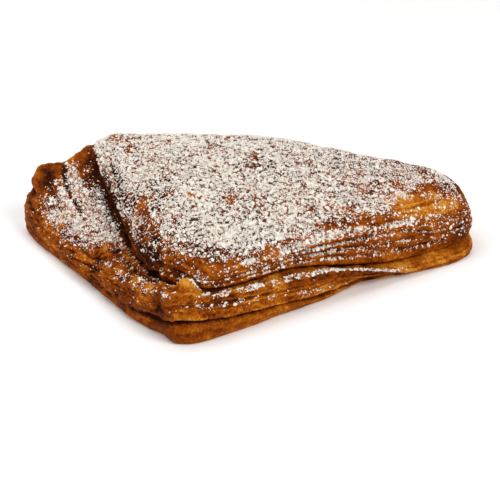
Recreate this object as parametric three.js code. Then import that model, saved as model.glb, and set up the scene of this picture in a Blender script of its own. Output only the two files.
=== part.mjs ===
// Jam turnover: one square of puff pastry folded corner to corner over its filling and baked.
// Millimetres, +Z up. +X runs along the folded edge at the back, -Y faces the open front edge.
// The piece is one solid: a skin of closed rings that climbs from the flat sole, over the lower
// leaf's lip and shelf, into the open seam, up the layered edge of the upper leaf and over its top.
import * as THREE from "three";

// Plan of the two leaves: each side is the bearing of its outward normal in degrees and its distance
// from the middle. The upper leaf may stand out past the lower one by the overhang.
const MIDDLE = [0, 54];
const LOWER_LEAF = [[-57, 30.4], [8, 81.6], [89, 42], [165, 90.6], [213.5, 49.6]];
const UPPER_LEAF = [[-57, 27.4], [12, 83.2], [89, 42], [165, 90], [198.6, 40], [245, 43]];
const LOWER_CORNERS = 18;
const UPPER_CORNERS = 13;
const OVERHANG = 1;
const FRONT = 0;
const LEFT_SIDE = 4;

// Stations: millimetres along the lower leaf's rim from the near corner, front edge first.
const NEAR = 0;
const FRONT_A = 22;
const FRONT_B = 46;
const FRONT_C = 62;
const LIFT = 76;
const FRONT_D = 95;
const RIGHT = 118;
const BACK_RIGHT = 142;
const FOLD_A = 165;
const FOLD_B = 200;
const FOLD_C = 240;
const STEP = 268;
const END = 288;
const LEFT = 304;
const LEFT_A = 325;
const LEFT_B = 350;
const LEFT_C = 388;
const LEFT_D = 402;

// Heights around the rim: the crevice under the lip, the lip's top edge and the seam between the leaves.
const GROOVE_HEIGHT = [[NEAR, 8.9], [12, 8], [FRONT_A, 6.5], [FRONT_B, 4], [LIFT, 2], [RIGHT, 1],
  [BACK_RIGHT, 3.4], [FOLD_C, 6], [LEFT_A, 3.5], [LEFT_B, 3.5], [380, 4.5], [LEFT_D, 7.6]];
const LIP_HEIGHT = [[NEAR, 20.2], [6, 18.8], [13, 16.4], [FRONT_A, 15.4], [FRONT_B, 13.8], [FRONT_C, 12.3],
  [LIFT, 8.6], [FRONT_D, 3.4], [RIGHT, 3], [BACK_RIGHT, 5.5], [FOLD_B, 14], [STEP, 32.5], [END, 28.6],
  [292, 26.2], [297, 24.6], [LEFT, 21.2], [LEFT_A, 11], [LEFT_B, 9.5], [370, 13], [380, 15],
  [LEFT_C, 15.6], [396, 16.6], [404, 20]];
const SEAM_HEIGHT = [[NEAR, 16.4], [10, 15.8], [FRONT_A, 15.4], [FRONT_B, 15.4], [FRONT_C, 12.6],
  [LIFT, 9.6], [FRONT_D, 6.3], [RIGHT, 5.2], [BACK_RIGHT, 8.4], [FOLD_A, 16], [FOLD_C, 27], [STEP, 33],
  [END, 29.4], [LEFT, 24.5], [LEFT_A, 20.6], [LEFT_B, 18.5], [357, 16], [368, 12.8], [LEFT_C, 14],
  [LEFT_D, 14.8]];

// Edge shapes around the rim: how far the upper leaf rolls down and over what width, how far the base
// tucks in under the lip, how far the end leans in, how wide the seam and the crevice open from 0 to 1,
// how far the lip's face is set back above its ledge, and how round the lip's top edge is.
const ROLL_DROP = [[NEAR, 3.4], [FRONT_A, 2.6], [FRONT_B, 2.2], [FRONT_D, 4], [RIGHT, 9], [130, 9],
  [BACK_RIGHT, 7.4], [150, 4.9], [160, 4.2], [FOLD_A, 4.8], [FOLD_B, 9], [FOLD_C, 11], [STEP, 3.5],
  [END, 3], [LEFT, 4.5], [LEFT_A, 4.5], [LEFT_C, 3.6]];
const ROLL_WIDTH = [[NEAR, 8], [FRONT_B, 7], [FRONT_D, 9], [RIGHT, 17], [130, 16], [BACK_RIGHT, 13],
  [150, 9], [156, 9.5], [FOLD_A, 11.5], [FOLD_C, 13], [STEP, 9], [LEFT_A, 8], [LEFT_C, 7]];
const BASE_TUCK = [[NEAR, 4], [6, 1.5], [13, 0], [30, 0], [40, 1], [50, 1.5], [FRONT_C, 2.4], [LIFT, 7.6],
  [86, 11.4], [FRONT_D, 9.4], [105, 3.4], [114, 0], [FOLD_B, 0], [END, 0.4], [LEFT, 1], [LEFT_A, 1.6],
  [LEFT_B, 2.1], [362, 1.6], [380, 0.9], [392, 1.8], [LEFT_D, 4.2]];
const END_LEAN = [[NEAR, 0], [RIGHT, 0], [262, 0], [END, 4.4], [LEFT, 2.6], [LEFT_A, 0.8], [LEFT_B, 0]];
const SEAM_OPEN = [[NEAR, 1], [FRONT_D, 1], [RIGHT, 0.9], [BACK_RIGHT, 0], [255, 0], [STEP, 0.4],
  [END, 1], [LEFT, 1]];
const GROOVE_OPEN = [[NEAR, 1], [70, 0.8], [90, 0], [FOLD_C, 0], [LEFT_C, 0], [LEFT_D, 0.6]];
const LEDGE_DEPTH = [[NEAR, 1.2], [FRONT_B, 1], [FRONT_C, 0.6], [80, 0], [255, 0], [END, 1.6], [LEFT, 1.2],
  [LEFT_A, 0.2], [LEFT_B, 0], [LEFT_C, 0.2]];
const RIM_ROUND = [[NEAR, 0], [FRONT_D, 0], [RIGHT, 0.2], [BACK_RIGHT, 0], [STEP, 0], [LEFT, 0.9],
  [LEFT_A, 1.4], [LEFT_B, 1.4], [LEFT_C, 1], [LEFT_D, 0.4]];

// Shelf and seam around the rim: how the shelf bows between the lip and the seam (below 1 it rises or
// falls early), how deep the seam runs in under the upper leaf, how high the leaf's edge stands above
// it, and how far its layers part from 0 to 1.
const SHELF_BOW = [[NEAR, 0.9], [LIFT, 0.8], [RIGHT, 0.5], [BACK_RIGHT, 0.8], [END, 0.9], [LEFT_A, 0.7],
  [LEFT_B, 0.62], [370, 0.5], [LEFT_C, 0.6], [LEFT_D, 0.9]];
const SEAM_DEPTH = [[NEAR, 2.6], [FRONT_A, 2.9], [FRONT_D, 2.9], [LEFT, 3.4], [370, 2.4], [LEFT_C, 1.6],
  [LEFT_D, 1.6]];
const LEAF_EDGE_RISE = [[NEAR, 1.8], [10, 1.2], [FRONT_A, 0.9], [FRONT_D, 0.9], [255, 0.9], [END, 1.8],
  [LEFT, 2.5], [LEFT_A, 3], [LEFT_B, 3.4], [368, 5.6], [LEFT_C, 4.2], [398, 3]];
const LAYERS_PART = [[NEAR, 0.25], [FRONT_A, 0.35], [FRONT_B, 0.7], [FRONT_C, 1], [RIGHT, 0.9], [END, 0.6],
  [LEFT_B, 0.5], [LEFT_C, 0.3]];

// Share of the way out at which the sole has a ring. Face of the base, from the sole's edge to the
// crevice: share of the crevice's height, distance in from the rim and share of the tuck.
const SOLE_RING = 0.5;
const BASE_FACE = [
  { rise: 0, inset: 2.4, tuck: 1 },
  { rise: 0.3, inset: 0.7, tuck: 0.9 },
  { rise: 0.7, inset: 0.4, tuck: 0.7 },
];
const GROOVE_LEVEL = { inset: 0.4, tuck: 0.9, depth: 2.2 };
const LIP_EDGE = { rise: 0.8, tuck: 0.85, ragged: 0.55, swell: 8, shift: 3.3 };

// Face of the lip: share of the height from the crevice to the lip's top edge, distance in from the rim,
// and shares of the ledge, the end's lean, the tuck and the rounding of the top edge.
const LIP_FACE = [
  { rise: 0.35, inset: -0.3, ledge: 0, lean: 0.15, tuck: 0.6, round: 0 },
  { rise: 0.52, inset: 0, ledge: 0, lean: 0.4, tuck: 0.38, round: 0.2 },
  { rise: 0.59, inset: 0.2, ledge: 1, lean: 0.6, tuck: 0.12, round: 0.35 },
  { rise: 0.68, inset: 0.2, ledge: 0.7, lean: 0.65, tuck: 0, round: 0.6 },
  { rise: 0.88, inset: 0.5, ledge: 0.6, lean: 0.85, tuck: 0, round: 1.5 },
];
const LIP_TOP = { inset: 1.5, ledge: 0.5, round: 2.6 };
const LIP_WAVE = { height: 0.3, swell: 11, shift: 11 };

// Valley that parts the lip's two rolls beside the near corner, at a station of the rim.
const VALLEY = { station: 403, width: 2.6, depth: 1.5 };

// Rings of the shelf, the least size of the seam, and the layered edge of the upper leaf above it.
const SHELF_RINGS = 5;
const SEAM = { least: 0.8, rise: 0.2, hollow: 6 };
const LEAF_EDGE = { share: 0.62, inset: 0.3, ragged: 0.5, swell: 9, shift: 21 };
const LAYERS = 3;
const LAYER = { first: 0.2, gap: 0.29, out: 0.2, back: 0.2, ragged: 0.35, swell: 9, shift: 41, step: 5 };
const CRACK = { first: 0.31, gap: 0.27, inset: 0.1, back: 0.25, depth: 1, swell: 12, shift: 31, step: 7 };
const CRACK_MEAN = 0.55;
const CRACK_SPREAD = 0.75;
const ROLL_INSETS = [1, 2.6, 5, 8, 12];
const CROWN_FRACTIONS = [0.84, 0.7, 0.56, 0.43, 0.31, 0.2, 0.1];

// Sizes of the top: the ridge near the fold, the slopes to both ends and the fall to the open edges.
const RIDGE_HEIGHT = 40.8;
const RIDGE_Y = 84;
const RIDGE_ROUND = 0.006;
const RIGHT_SLOPE = 0.213;
const RIGHT_SLOPE_FROM = 4;
const LEFT_SLOPE = 0.075;
const LEFT_SLOPE_FROM = -6;
const SLOPE_BLEND = 6;
const EDGE_HEIGHT = 22.6;
const FRONT_REACH = 56;
const LEFT_REACH = 30;
const LEFT_SHARE = 0.66;
const LEFT_FADE_Y = 108;
const LEFT_FADE = 62;
const FALL_LIMIT = 1.08;
const FALL_BLEND = 3;
const BLISTER_WIDTH = 16;
const BLISTER_HEIGHT = 0.7;

// The flake that stands on the left shelf.
const FLAKE_X = -64;
const FLAKE_WIDTH = 5;
const FLAKE_RISE = 1.2;
const FLAKE_FROM_Y = 60;
const FLAKE_FADE = 12;

// Round lumps by their place, radius and height: one at the top's left end, and two on the left shelf,
// which are the burnt knob at its corner and the swollen end of the fold. On the lip's face a lump
// fades in between two shares of the height.
const TOP_LUMP = { x: -48, y: 92, radius: 5.5, height: 1.7 };
const SHELF_LUMPS = [
  { x: -73, y: 88.5, radius: 6.5, height: 3.1 },
  { x: -57, y: 95, radius: 6, height: 2.4 },
];
const LUMP_FADE = { from: 0.3, to: 0.9 };

// Fineness of the skin: rings are shared out more thinly along the smooth fold.
const STATION_COUNT = 124;
const RIM_SAMPLES = 6000;
const STATION_SHARE = [[NEAR, 1], [135, 1], [160, 0.55], [250, 0.55], [275, 1], [LEFT_A, 0.9]];

const CRUST_COLOUR = 0xb0682c;
const CRUST_ROUGHNESS = 0.75;

const mix = (from, to, share) => from + (to - from) * share;
const clamp = (value, low, high) => Math.min(Math.max(value, low), high);
const radians = (degrees) => (degrees * Math.PI) / 180;

// Smooth step from 0 at low to 1 at high.
function ease(value, low, high) {
  const share = clamp((value - low) / (high - low), 0, 1);
  return share * share * (3 - 2 * share);
}

// Smooth ramp: zero well below the start and a straight line well above it.
function ramp(value) {
  return SLOPE_BLEND * Math.log1p(Math.exp(value / SLOPE_BLEND));
}

// Repeatable value between 0 and 1 for a lattice point.
function chance(column, row) {
  const value = Math.sin(column * 127.1 + row * 311.7) * 43758.5453;
  return value - Math.floor(value);
}

// Smooth unevenness between -1 and 1 with one swell per unit.
function unevenness(x, y) {
  const column = Math.floor(x);
  const row = Math.floor(y);
  const easeAcross = ease(x - column, 0, 1);
  const easeUp = ease(y - row, 0, 1);
  const low = mix(chance(column, row), chance(column + 1, row), easeAcross);
  const high = mix(chance(column, row + 1), chance(column + 1, row + 1), easeAcross);
  return 2 * mix(low, high, easeUp) - 1;
}

// Distance from the middle to a leaf's edge: straight sides met by rounded corners.
function reach(bearing, sides, corners) {
  let total = 0;
  for (const [normal, distance] of sides) {
    const facing = Math.max(Math.cos(bearing - radians(normal)), 0);
    total += (facing / distance) ** corners;
  }
  return total ** (-1 / corners);
}

// Value of a table at a place along the rim: a smooth curve through its entries without overshoot.
function along(table, place, length) {
  const count = table.length;
  const entry = (index) => {
    const turn = Math.floor(index / count);
    const [station, value] = table[index - turn * count];
    return [station + turn * length, value];
  };
  const slope = (index) => {
    const [start, low] = entry(index);
    const [end, high] = entry(index + 1);
    return (high - low) / (end - start);
  };
  const tangent = (index) => {
    const before = slope(index - 1);
    const after = slope(index);
    if (before * after <= 0) return 0;
    const gapBefore = entry(index)[0] - entry(index - 1)[0];
    const gapAfter = entry(index + 1)[0] - entry(index)[0];
    const weightBefore = 2 * gapAfter + gapBefore;
    const weightAfter = gapAfter + 2 * gapBefore;
    return (weightBefore + weightAfter) / (weightBefore / before + weightAfter / after);
  };
  let index = count - 1;
  while (index > 0 && table[index][0] > place) index -= 1;
  const [start, low] = entry(index);
  const [end, high] = entry(index + 1);
  const gap = end - start;
  const t = (place - start) / gap;
  const rest = 1 - t;
  return (1 + 2 * t) * rest * rest * low + t * rest * rest * gap * tangent(index)
    + t * t * (3 - 2 * t) * high - t * t * rest * gap * tangent(index + 1);
}

// Walk once around the lower leaf's rim and share the stations out along it.
function walkRim() {
  const turn = (2 * Math.PI) / RIM_SAMPLES;
  const edge = (bearing) => reach(bearing, LOWER_LEAF, LOWER_CORNERS);
  let nearBearing = 0;
  let nearest = Infinity;
  for (let sample = 0; sample < RIM_SAMPLES; sample += 1) {
    const y = edge(sample * turn) * Math.sin(sample * turn);
    if (y < nearest) {
      nearest = y;
      nearBearing = sample * turn;
    }
  }
  const samples = [];
  let length = 0;
  for (let sample = 0; sample <= RIM_SAMPLES; sample += 1) {
    const bearing = nearBearing + sample * turn;
    const place = new THREE.Vector2(Math.cos(bearing), Math.sin(bearing)).multiplyScalar(edge(bearing));
    if (sample > 0) length += place.distanceTo(samples[sample - 1].place);
    samples.push({ bearing, place, length });
  }
  let share = 0;
  samples.forEach((sample, index) => {
    const gap = index > 0 ? sample.length - samples[index - 1].length : 0;
    share += gap * along(STATION_SHARE, sample.length, length);
    sample.share = share;
  });
  const stations = [];
  let index = 0;
  for (let station = 0; station < STATION_COUNT; station += 1) {
    const wanted = (share * station) / STATION_COUNT;
    while (samples[index + 1].share < wanted) index += 1;
    const before = samples[index];
    const after = samples[index + 1];
    const t = (wanted - before.share) / (after.share - before.share);
    const bearing = mix(before.bearing, after.bearing, t);
    stations.push({ bearing, place: mix(before.length, after.length, t) });
  }
  return { stations, length };
}

// Distance inwards from one side of the upper leaf.
function inwards(x, y, side) {
  const [normal, distance] = UPPER_LEAF[side];
  const bearing = radians(normal);
  return distance - (x - MIDDLE[0]) * Math.cos(bearing) - (y - MIDDLE[1]) * Math.sin(bearing);
}

// Height of a round lump at a place.
function lumpHeight(lump, x, y) {
  return lump.height * Math.exp(-((x - lump.x) ** 2 + (y - lump.y) ** 2) / lump.radius ** 2);
}

// Height of all lumps on the left shelf at a place.
function shelfLumps(x, y) {
  return SHELF_LUMPS.reduce((total, lump) => total + lumpHeight(lump, x, y), 0);
}

// Height of the upper leaf's top: a ridge near the fold that falls to the open edges, with low blisters
// and a lump at its left end.
function topHeight(x, y) {
  const right = RIGHT_SLOPE * ramp(x - RIGHT_SLOPE_FROM);
  const left = LEFT_SLOPE * ramp(LEFT_SLOPE_FROM - x);
  const back = RIDGE_ROUND * Math.max(y - RIDGE_Y, 0) ** 2;
  const ridge = RIDGE_HEIGHT - right - left - back;
  const frontFall = clamp(1 - inwards(x, y, FRONT) / FRONT_REACH, 0, FALL_LIMIT) ** 2;
  const leftShare = LEFT_SHARE * clamp((LEFT_FADE_Y - y) / LEFT_FADE, 0, 1);
  const leftFall = leftShare * clamp(1 - inwards(x, y, LEFT_SIDE) / LEFT_REACH, 0, FALL_LIMIT) ** 2;
  const fall = (frontFall ** FALL_BLEND + leftFall ** FALL_BLEND) ** (1 / FALL_BLEND);
  const blister = BLISTER_HEIGHT * unevenness(x / BLISTER_WIDTH, y / BLISTER_WIDTH);
  const raised = blister + lumpHeight(TOP_LUMP, x, y);
  return ridge - (ridge - EDGE_HEIGHT) * Math.min(fall, FALL_LIMIT) + raised;
}

// The skin's profile at one station, as points from the middle of the sole to the crown.
function profile({ bearing, place }, length) {
  const cos = Math.cos(bearing);
  const sin = Math.sin(bearing);
  const at = (table) => along(table, place, length);
  const lower = reach(bearing, LOWER_LEAF, LOWER_CORNERS);
  const upper = Math.min(reach(bearing, UPPER_LEAF, UPPER_CORNERS), lower + OVERHANG);
  const rough = (swell, shift) =>
    unevenness((MIDDLE[0] + lower * cos) / swell, (MIDDLE[1] + lower * sin) / swell + shift);
  const plan = (distance) => [MIDDLE[0] + distance * cos, MIDDLE[1] + distance * sin];
  const topAt = (distance) => topHeight(...plan(distance));
  const points = [];
  const add = (distance, height) => points.push([...plan(distance), height]);

  // Sole and foot.
  const groove = at(GROOVE_HEIGHT);
  const tuck = at(BASE_TUCK);
  add(lower * SOLE_RING, 0);
  for (const level of BASE_FACE) {
    add(lower - level.inset - level.tuck * tuck, level.rise * groove);
  }

  // Crevice under the lip, the lip's ragged edge, and its rounded face set back above a ledge.
  const lip = at(LIP_HEIGHT);
  const ledge = at(LEDGE_DEPTH);
  const lean = at(END_LEAN);
  const open = at(SEAM_OPEN);
  const cut = at(GROOVE_OPEN);
  const ragged = LIP_EDGE.ragged * rough(LIP_EDGE.swell, LIP_EDGE.shift);
  const wave = LIP_WAVE.height * rough(LIP_WAVE.swell, LIP_WAVE.shift);
  add(lower - GROOVE_LEVEL.inset - GROOVE_LEVEL.depth * cut - GROOVE_LEVEL.tuck * tuck, groove);
  add(lower + ragged * cut - LIP_EDGE.tuck * tuck, groove + LIP_EDGE.rise + ragged * cut);
  const rounding = at(RIM_ROUND);
  const valley = VALLEY.depth * Math.exp(-(((place - VALLEY.station) / VALLEY.width) ** 2));
  for (const level of LIP_FACE) {
    const shaped = level.ledge * ledge + level.lean * lean + level.tuck * tuck + level.round * rounding;
    const distance = lower + wave * (1 - level.rise) - valley - level.inset - shaped;
    const lump = shelfLumps(...plan(distance)) * ease(level.rise, LUMP_FADE.from, LUMP_FADE.to) * open;
    add(distance, mix(groove, lip, level.rise) + lump);
  }
  const topShaped = LIP_TOP.ledge * ledge + lean + LIP_TOP.round * rounding;
  const lipDistance = lower - LIP_TOP.inset * open - topShaped - valley;
  add(lipDistance, lip + shelfLumps(...plan(lipDistance)) * open);

  // Shelf of the lower leaf, wide on the left, running in to the seam.
  const seam = Math.max(at(SEAM_HEIGHT), lip + SEAM.rise - SEAM.hollow * open);
  const underLeaf = mix(lipDistance, upper - at(SEAM_DEPTH), open);
  const seamDistance = Math.min(underLeaf, lipDistance - SEAM.least * open);
  const bow = at(SHELF_BOW);
  for (let ring = 1; ring <= SHELF_RINGS; ring += 1) {
    const share = ring / (SHELF_RINGS + 1);
    const distance = mix(lipDistance, seamDistance, share);
    const [x, y] = plan(distance);
    const beside = ((x - FLAKE_X) / FLAKE_WIDTH) ** 2;
    const fade = clamp((y - FLAKE_FROM_Y) / FLAKE_FADE, 0, 1) * open;
    const flake = FLAKE_RISE * Math.exp(-beside) * fade * Math.sin(Math.PI * share);
    const lump = shelfLumps(x, y) * open * (1 - share);
    add(distance, mix(lip, seam, share ** bow) + flake + lump);
  }
  add(seamDistance, seam);

  // Layered edge of the upper leaf: each layer stands out and is parted from the next by a crack.
  const rollDrop = at(ROLL_DROP);
  const rollWidth = at(ROLL_WIDTH);
  const rolled = (inset) => topAt(upper - inset) - rollDrop * clamp(1 - inset / rollWidth, 0, 1) ** 2;
  const rim = rolled(ROLL_INSETS[0]);
  const leafEdge = seam + Math.min(at(LEAF_EDGE_RISE), LEAF_EDGE.share * (rim - seam));
  const edgeRagged = LEAF_EDGE.ragged * rough(LEAF_EDGE.swell, LEAF_EDGE.shift);
  add(mix(lipDistance, upper - LEAF_EDGE.inset + edgeRagged, open), leafEdge);
  const crackDepth = CRACK.depth * open * at(LAYERS_PART);
  for (let layer = 0; layer < LAYERS; layer += 1) {
    const uneven = LAYER.ragged * rough(LAYER.swell, LAYER.shift + LAYER.step * layer) * open;
    const layerOut = LAYER.out + uneven - LAYER.back * layer;
    add(upper + layerOut, mix(leafEdge, rim, LAYER.first + LAYER.gap * layer));
    const gape = CRACK_MEAN + CRACK_SPREAD * rough(CRACK.swell, CRACK.shift + CRACK.step * layer);
    const crack = CRACK.inset + CRACK.back * layer + crackDepth * clamp(gape, 0, 1);
    add(upper - crack, mix(leafEdge, rim, CRACK.first + CRACK.gap * layer));
  }

  // Rolled rim and the crown.
  for (const inset of ROLL_INSETS) add(upper - inset, rolled(inset));
  const crownEdge = upper - ROLL_INSETS[ROLL_INSETS.length - 1];
  for (const fraction of CROWN_FRACTIONS) add(crownEdge * fraction, topAt(crownEdge * fraction));
  return points;
}

// Join the profiles into one closed skin, with a point at the middle of the sole and one at the crown.
function turnoverGeometry() {
  const { stations, length } = walkRim();
  const profiles = stations.map((station) => profile(station, length));
  const ringCount = profiles[0].length;
  const positions = [...MIDDLE, 0];
  for (let ring = 0; ring < ringCount; ring += 1) {
    for (const points of profiles) positions.push(...points[ring]);
  }
  positions.push(...MIDDLE, topHeight(...MIDDLE));
  const crown = positions.length / 3 - 1;
  const corner = (ring, station) => 1 + ring * STATION_COUNT + (station % STATION_COUNT);
  const triangles = [];
  for (let station = 0; station < STATION_COUNT; station += 1) {
    triangles.push(0, corner(0, station + 1), corner(0, station));
    for (let ring = 0; ring < ringCount - 1; ring += 1) {
      const low = corner(ring, station);
      const lowNext = corner(ring, station + 1);
      const high = corner(ring + 1, station);
      const highNext = corner(ring + 1, station + 1);
      triangles.push(low, lowNext, highNext, low, highNext, high);
    }
    triangles.push(corner(ringCount - 1, station), corner(ringCount - 1, station + 1), crown);
  }
  const geometry = new THREE.BufferGeometry();
  geometry.setAttribute("position", new THREE.Float32BufferAttribute(positions, 3));
  geometry.setIndex(triangles);
  return geometry;
}

// Put the middle of the box's underside at the origin.
function standOnOrigin(geometry) {
  geometry.computeBoundingBox();
  const { min, max } = geometry.boundingBox;
  geometry.translate(-(min.x + max.x) / 2, -(min.y + max.y) / 2, -min.z);
  geometry.computeVertexNormals();
  return geometry;
}

const crust = new THREE.MeshStandardMaterial({
  color: CRUST_COLOUR,
  roughness: CRUST_ROUGHNESS,
  metalness: 0,
});
const turnover = new THREE.Mesh(standOnOrigin(turnoverGeometry()), crust);
turnover.name = "turnover";

const group = new THREE.Group();
group.name = "jam_turnover";
group.add(turnover);

export default group;
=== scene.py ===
"""Jam turnover: the looks of a folded puff pastry dusted with icing sugar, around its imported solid.

The pastry's skin is a closed loft with the same levels as the solid, drawn finer and given the sheets,
cracks and blisters of baked puff pastry. The sugar is scattered over it by Geometry Nodes.
"""

import math
from typing import NamedTuple

import bpy
import numpy as np
from bpy.props import FloatProperty, FloatVectorProperty, IntProperty, PointerProperty
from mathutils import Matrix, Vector


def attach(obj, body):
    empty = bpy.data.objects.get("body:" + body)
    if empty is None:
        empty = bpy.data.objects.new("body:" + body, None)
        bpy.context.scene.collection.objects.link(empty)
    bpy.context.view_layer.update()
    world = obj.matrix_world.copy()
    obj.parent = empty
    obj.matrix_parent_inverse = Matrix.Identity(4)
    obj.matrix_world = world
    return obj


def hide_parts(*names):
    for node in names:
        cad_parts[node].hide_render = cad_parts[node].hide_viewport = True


bl_info = {
    "name": "Jam turnover",
    "version": (1, 0, 0),
    "blender": (4, 5, 0),
    "location": "3D View > Sidebar > Turnover",
    "description": "Builds the crust, the icing sugar and the stage of a jam turnover around its frame",
    "category": "Object",
}

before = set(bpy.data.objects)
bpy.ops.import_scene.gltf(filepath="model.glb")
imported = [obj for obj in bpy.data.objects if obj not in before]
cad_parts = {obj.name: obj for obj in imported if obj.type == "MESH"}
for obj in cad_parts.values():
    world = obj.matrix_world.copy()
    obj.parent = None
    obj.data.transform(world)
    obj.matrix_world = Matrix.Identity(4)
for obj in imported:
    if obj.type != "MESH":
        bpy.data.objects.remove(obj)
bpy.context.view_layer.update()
MM = 0.001
STILL = math.inf
SMALLEST = 1e-9

# Factors that make the repeatable chance values look random.
CHANCE_ACROSS = 127.1
CHANCE_UP = 311.7
CHANCE_SPREAD = 43758.5453


class Swells(NamedTuple):
    """A pattern of unevenness, in millimetres.

    A swell has a width across and up. The pattern starts somewhere else for each use, so that no two match,
    and may slide by one swell across or up over some height.
    """

    across: float
    up: float
    start: tuple = (0, 0)
    slide: tuple = (STILL, STILL)
    strength: float = 1


# Plan of the two leaves in millimetres: each side is the bearing of its outward normal in degrees and
# its distance from the middle.
MIDDLE = (0, 54)
LOWER_LEAF = ((-57, 30.4), (8, 81.6), (89, 42), (165, 90.6), (213.5, 49.6))
UPPER_LEAF = ((-57, 27.4), (12, 83.2), (89, 42), (165, 90), (198.6, 40), (245, 43))
LOWER_CORNERS = 18
UPPER_CORNERS = 13
UPPER_PAST_LOWER = 1
FRONT = 0
LEFT_SIDE = 4

# Stations: millimetres along the lower leaf's rim from the near corner, front edge first.
NEAR = 0
FRONT_A = 22
FRONT_B = 46
FRONT_C = 62
LIFT = 76
FRONT_D = 95
RIGHT = 118
BACK_RIGHT = 142
FOLD_A = 165
FOLD_B = 200
FOLD_C = 240
STEP = 268
END = 288
LEFT = 304
LEFT_A = 325
LEFT_B = 350
LEFT_C = 388
LEFT_D = 402

# Levels that a profile climbs through.
SOLE_EDGE = 1
GROOVE = 4
LIP_EDGE = 5
LIP_TOP = 11
SEAM = 17
LEAF_EDGE = 18
RIM = 25
CROWN = 29
LEVEL_SOFT = 0.8

# Heights around the rim: the crevice under the lip, the lip's top edge and the seam between the leaves.
GROOVE_HEIGHT = ((NEAR, 8.9), (12, 8), (FRONT_A, 6.5), (FRONT_B, 4), (LIFT, 2), (RIGHT, 1),
                 (BACK_RIGHT, 3.4), (FOLD_C, 6), (LEFT_A, 3.5), (LEFT_B, 3.5), (380, 4.5), (LEFT_D, 7.6))
LIP_HEIGHT = ((NEAR, 20.2), (6, 18.8), (13, 16.4), (FRONT_A, 15.4), (FRONT_B, 13.8), (FRONT_C, 12.3),
              (LIFT, 8.6), (FRONT_D, 3.4), (RIGHT, 3), (BACK_RIGHT, 5.5), (FOLD_B, 14), (STEP, 32.5),
              (END, 28.6), (292, 26.2), (297, 24.6), (LEFT, 21.2), (LEFT_A, 11), (LEFT_B, 9.5), (370, 13),
              (380, 15), (LEFT_C, 15.6), (396, 16.6), (404, 20))
SEAM_HEIGHT = ((NEAR, 16.4), (10, 15.8), (FRONT_A, 15.4), (FRONT_B, 15.4), (FRONT_C, 12.6), (LIFT, 9.6),
               (FRONT_D, 6.3), (RIGHT, 5.2), (BACK_RIGHT, 8.4), (FOLD_A, 16), (FOLD_C, 27), (STEP, 33),
               (END, 29.4), (LEFT, 24.5), (LEFT_A, 20.6), (LEFT_B, 18.5), (357, 16), (368, 12.8),
               (LEFT_C, 14), (LEFT_D, 14.8))

# Edge shapes around the rim: the upper leaf's roll, the base's tuck under the lip, the end's lean, how
# wide the seam and the crevice open from 0 to 1, how far the lip's face is set back above its ledge, how
# much of the rim is rounded, and how the shelf bows from the lip to the seam.
ROLL_DROP = ((NEAR, 3.4), (FRONT_A, 2.6), (FRONT_B, 2.2), (FRONT_D, 4), (RIGHT, 9), (130, 9),
             (BACK_RIGHT, 7.4), (150, 4.9), (160, 4.2), (FOLD_A, 4.8), (FOLD_B, 9), (FOLD_C, 11),
             (STEP, 3.5), (END, 3), (LEFT, 4.5), (LEFT_A, 4.5), (LEFT_C, 3.6))
ROLL_WIDTH = ((NEAR, 8), (FRONT_B, 7), (FRONT_D, 9), (RIGHT, 17), (130, 16), (BACK_RIGHT, 13), (150, 9),
              (156, 9.5), (FOLD_A, 11.5), (FOLD_C, 13), (STEP, 9), (LEFT_A, 8), (LEFT_C, 7))
BASE_TUCK = ((NEAR, 4), (6, 1.5), (13, 0), (30, 0), (40, 1), (50, 1.5), (FRONT_C, 2.4), (LIFT, 7.6),
             (86, 11.4), (FRONT_D, 9.4), (105, 3.4), (114, 0), (FOLD_B, 0), (END, 0.4), (LEFT, 1),
             (LEFT_A, 1.6), (LEFT_B, 2.1), (362, 1.6), (380, 0.9), (392, 1.8), (LEFT_D, 4.2))
END_LEAN = ((NEAR, 0), (RIGHT, 0), (262, 0), (END, 4.4), (LEFT, 2.6), (LEFT_A, 0.8), (LEFT_B, 0))
SEAM_OPEN = ((NEAR, 1), (FRONT_D, 1), (RIGHT, 0.9), (BACK_RIGHT, 0), (255, 0), (STEP, 0.4), (END, 1),
             (LEFT, 1))
GROOVE_OPEN = ((NEAR, 1), (70, 0.8), (90, 0), (FOLD_C, 0), (LEFT_C, 0), (LEFT_D, 0.6))
LEDGE_DEPTH = ((NEAR, 1.2), (FRONT_B, 1), (FRONT_C, 0.6), (80, 0), (255, 0), (END, 1.6), (LEFT, 1.2),
               (LEFT_A, 0.2), (LEFT_B, 0), (LEFT_C, 0.2))
RIM_ROUND = ((NEAR, 0), (FRONT_D, 0), (RIGHT, 0.2), (BACK_RIGHT, 0), (STEP, 0), (LEFT, 0.9),
             (LEFT_A, 1.4), (LEFT_B, 1.4), (LEFT_C, 1), (LEFT_D, 0.4))
SHELF_BOW = ((NEAR, 0.9), (LIFT, 0.8), (RIGHT, 0.5), (BACK_RIGHT, 0.8), (END, 0.9), (LEFT_A, 0.7),
             (LEFT_B, 0.62), (370, 0.5), (LEFT_C, 0.6), (LEFT_D, 0.9))

# Face of the base: share of the crevice's height, distance in from the rim and share of the tuck.
BASE_FACE = ((0, 2.4, 1), (0.3, 0.7, 0.9), (0.7, 0.4, 0.7))
GROOVE_INSET = 0.4
GROOVE_TUCK = 0.9
GROOVE_DEPTH = 2.2
LIP_EDGE_RISE = 0.8
LIP_EDGE_TUCK = 0.85
LIP_EDGE_RAGGED = 0.55
LIP_EDGE_SWELLS = (8, 3.3)

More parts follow.
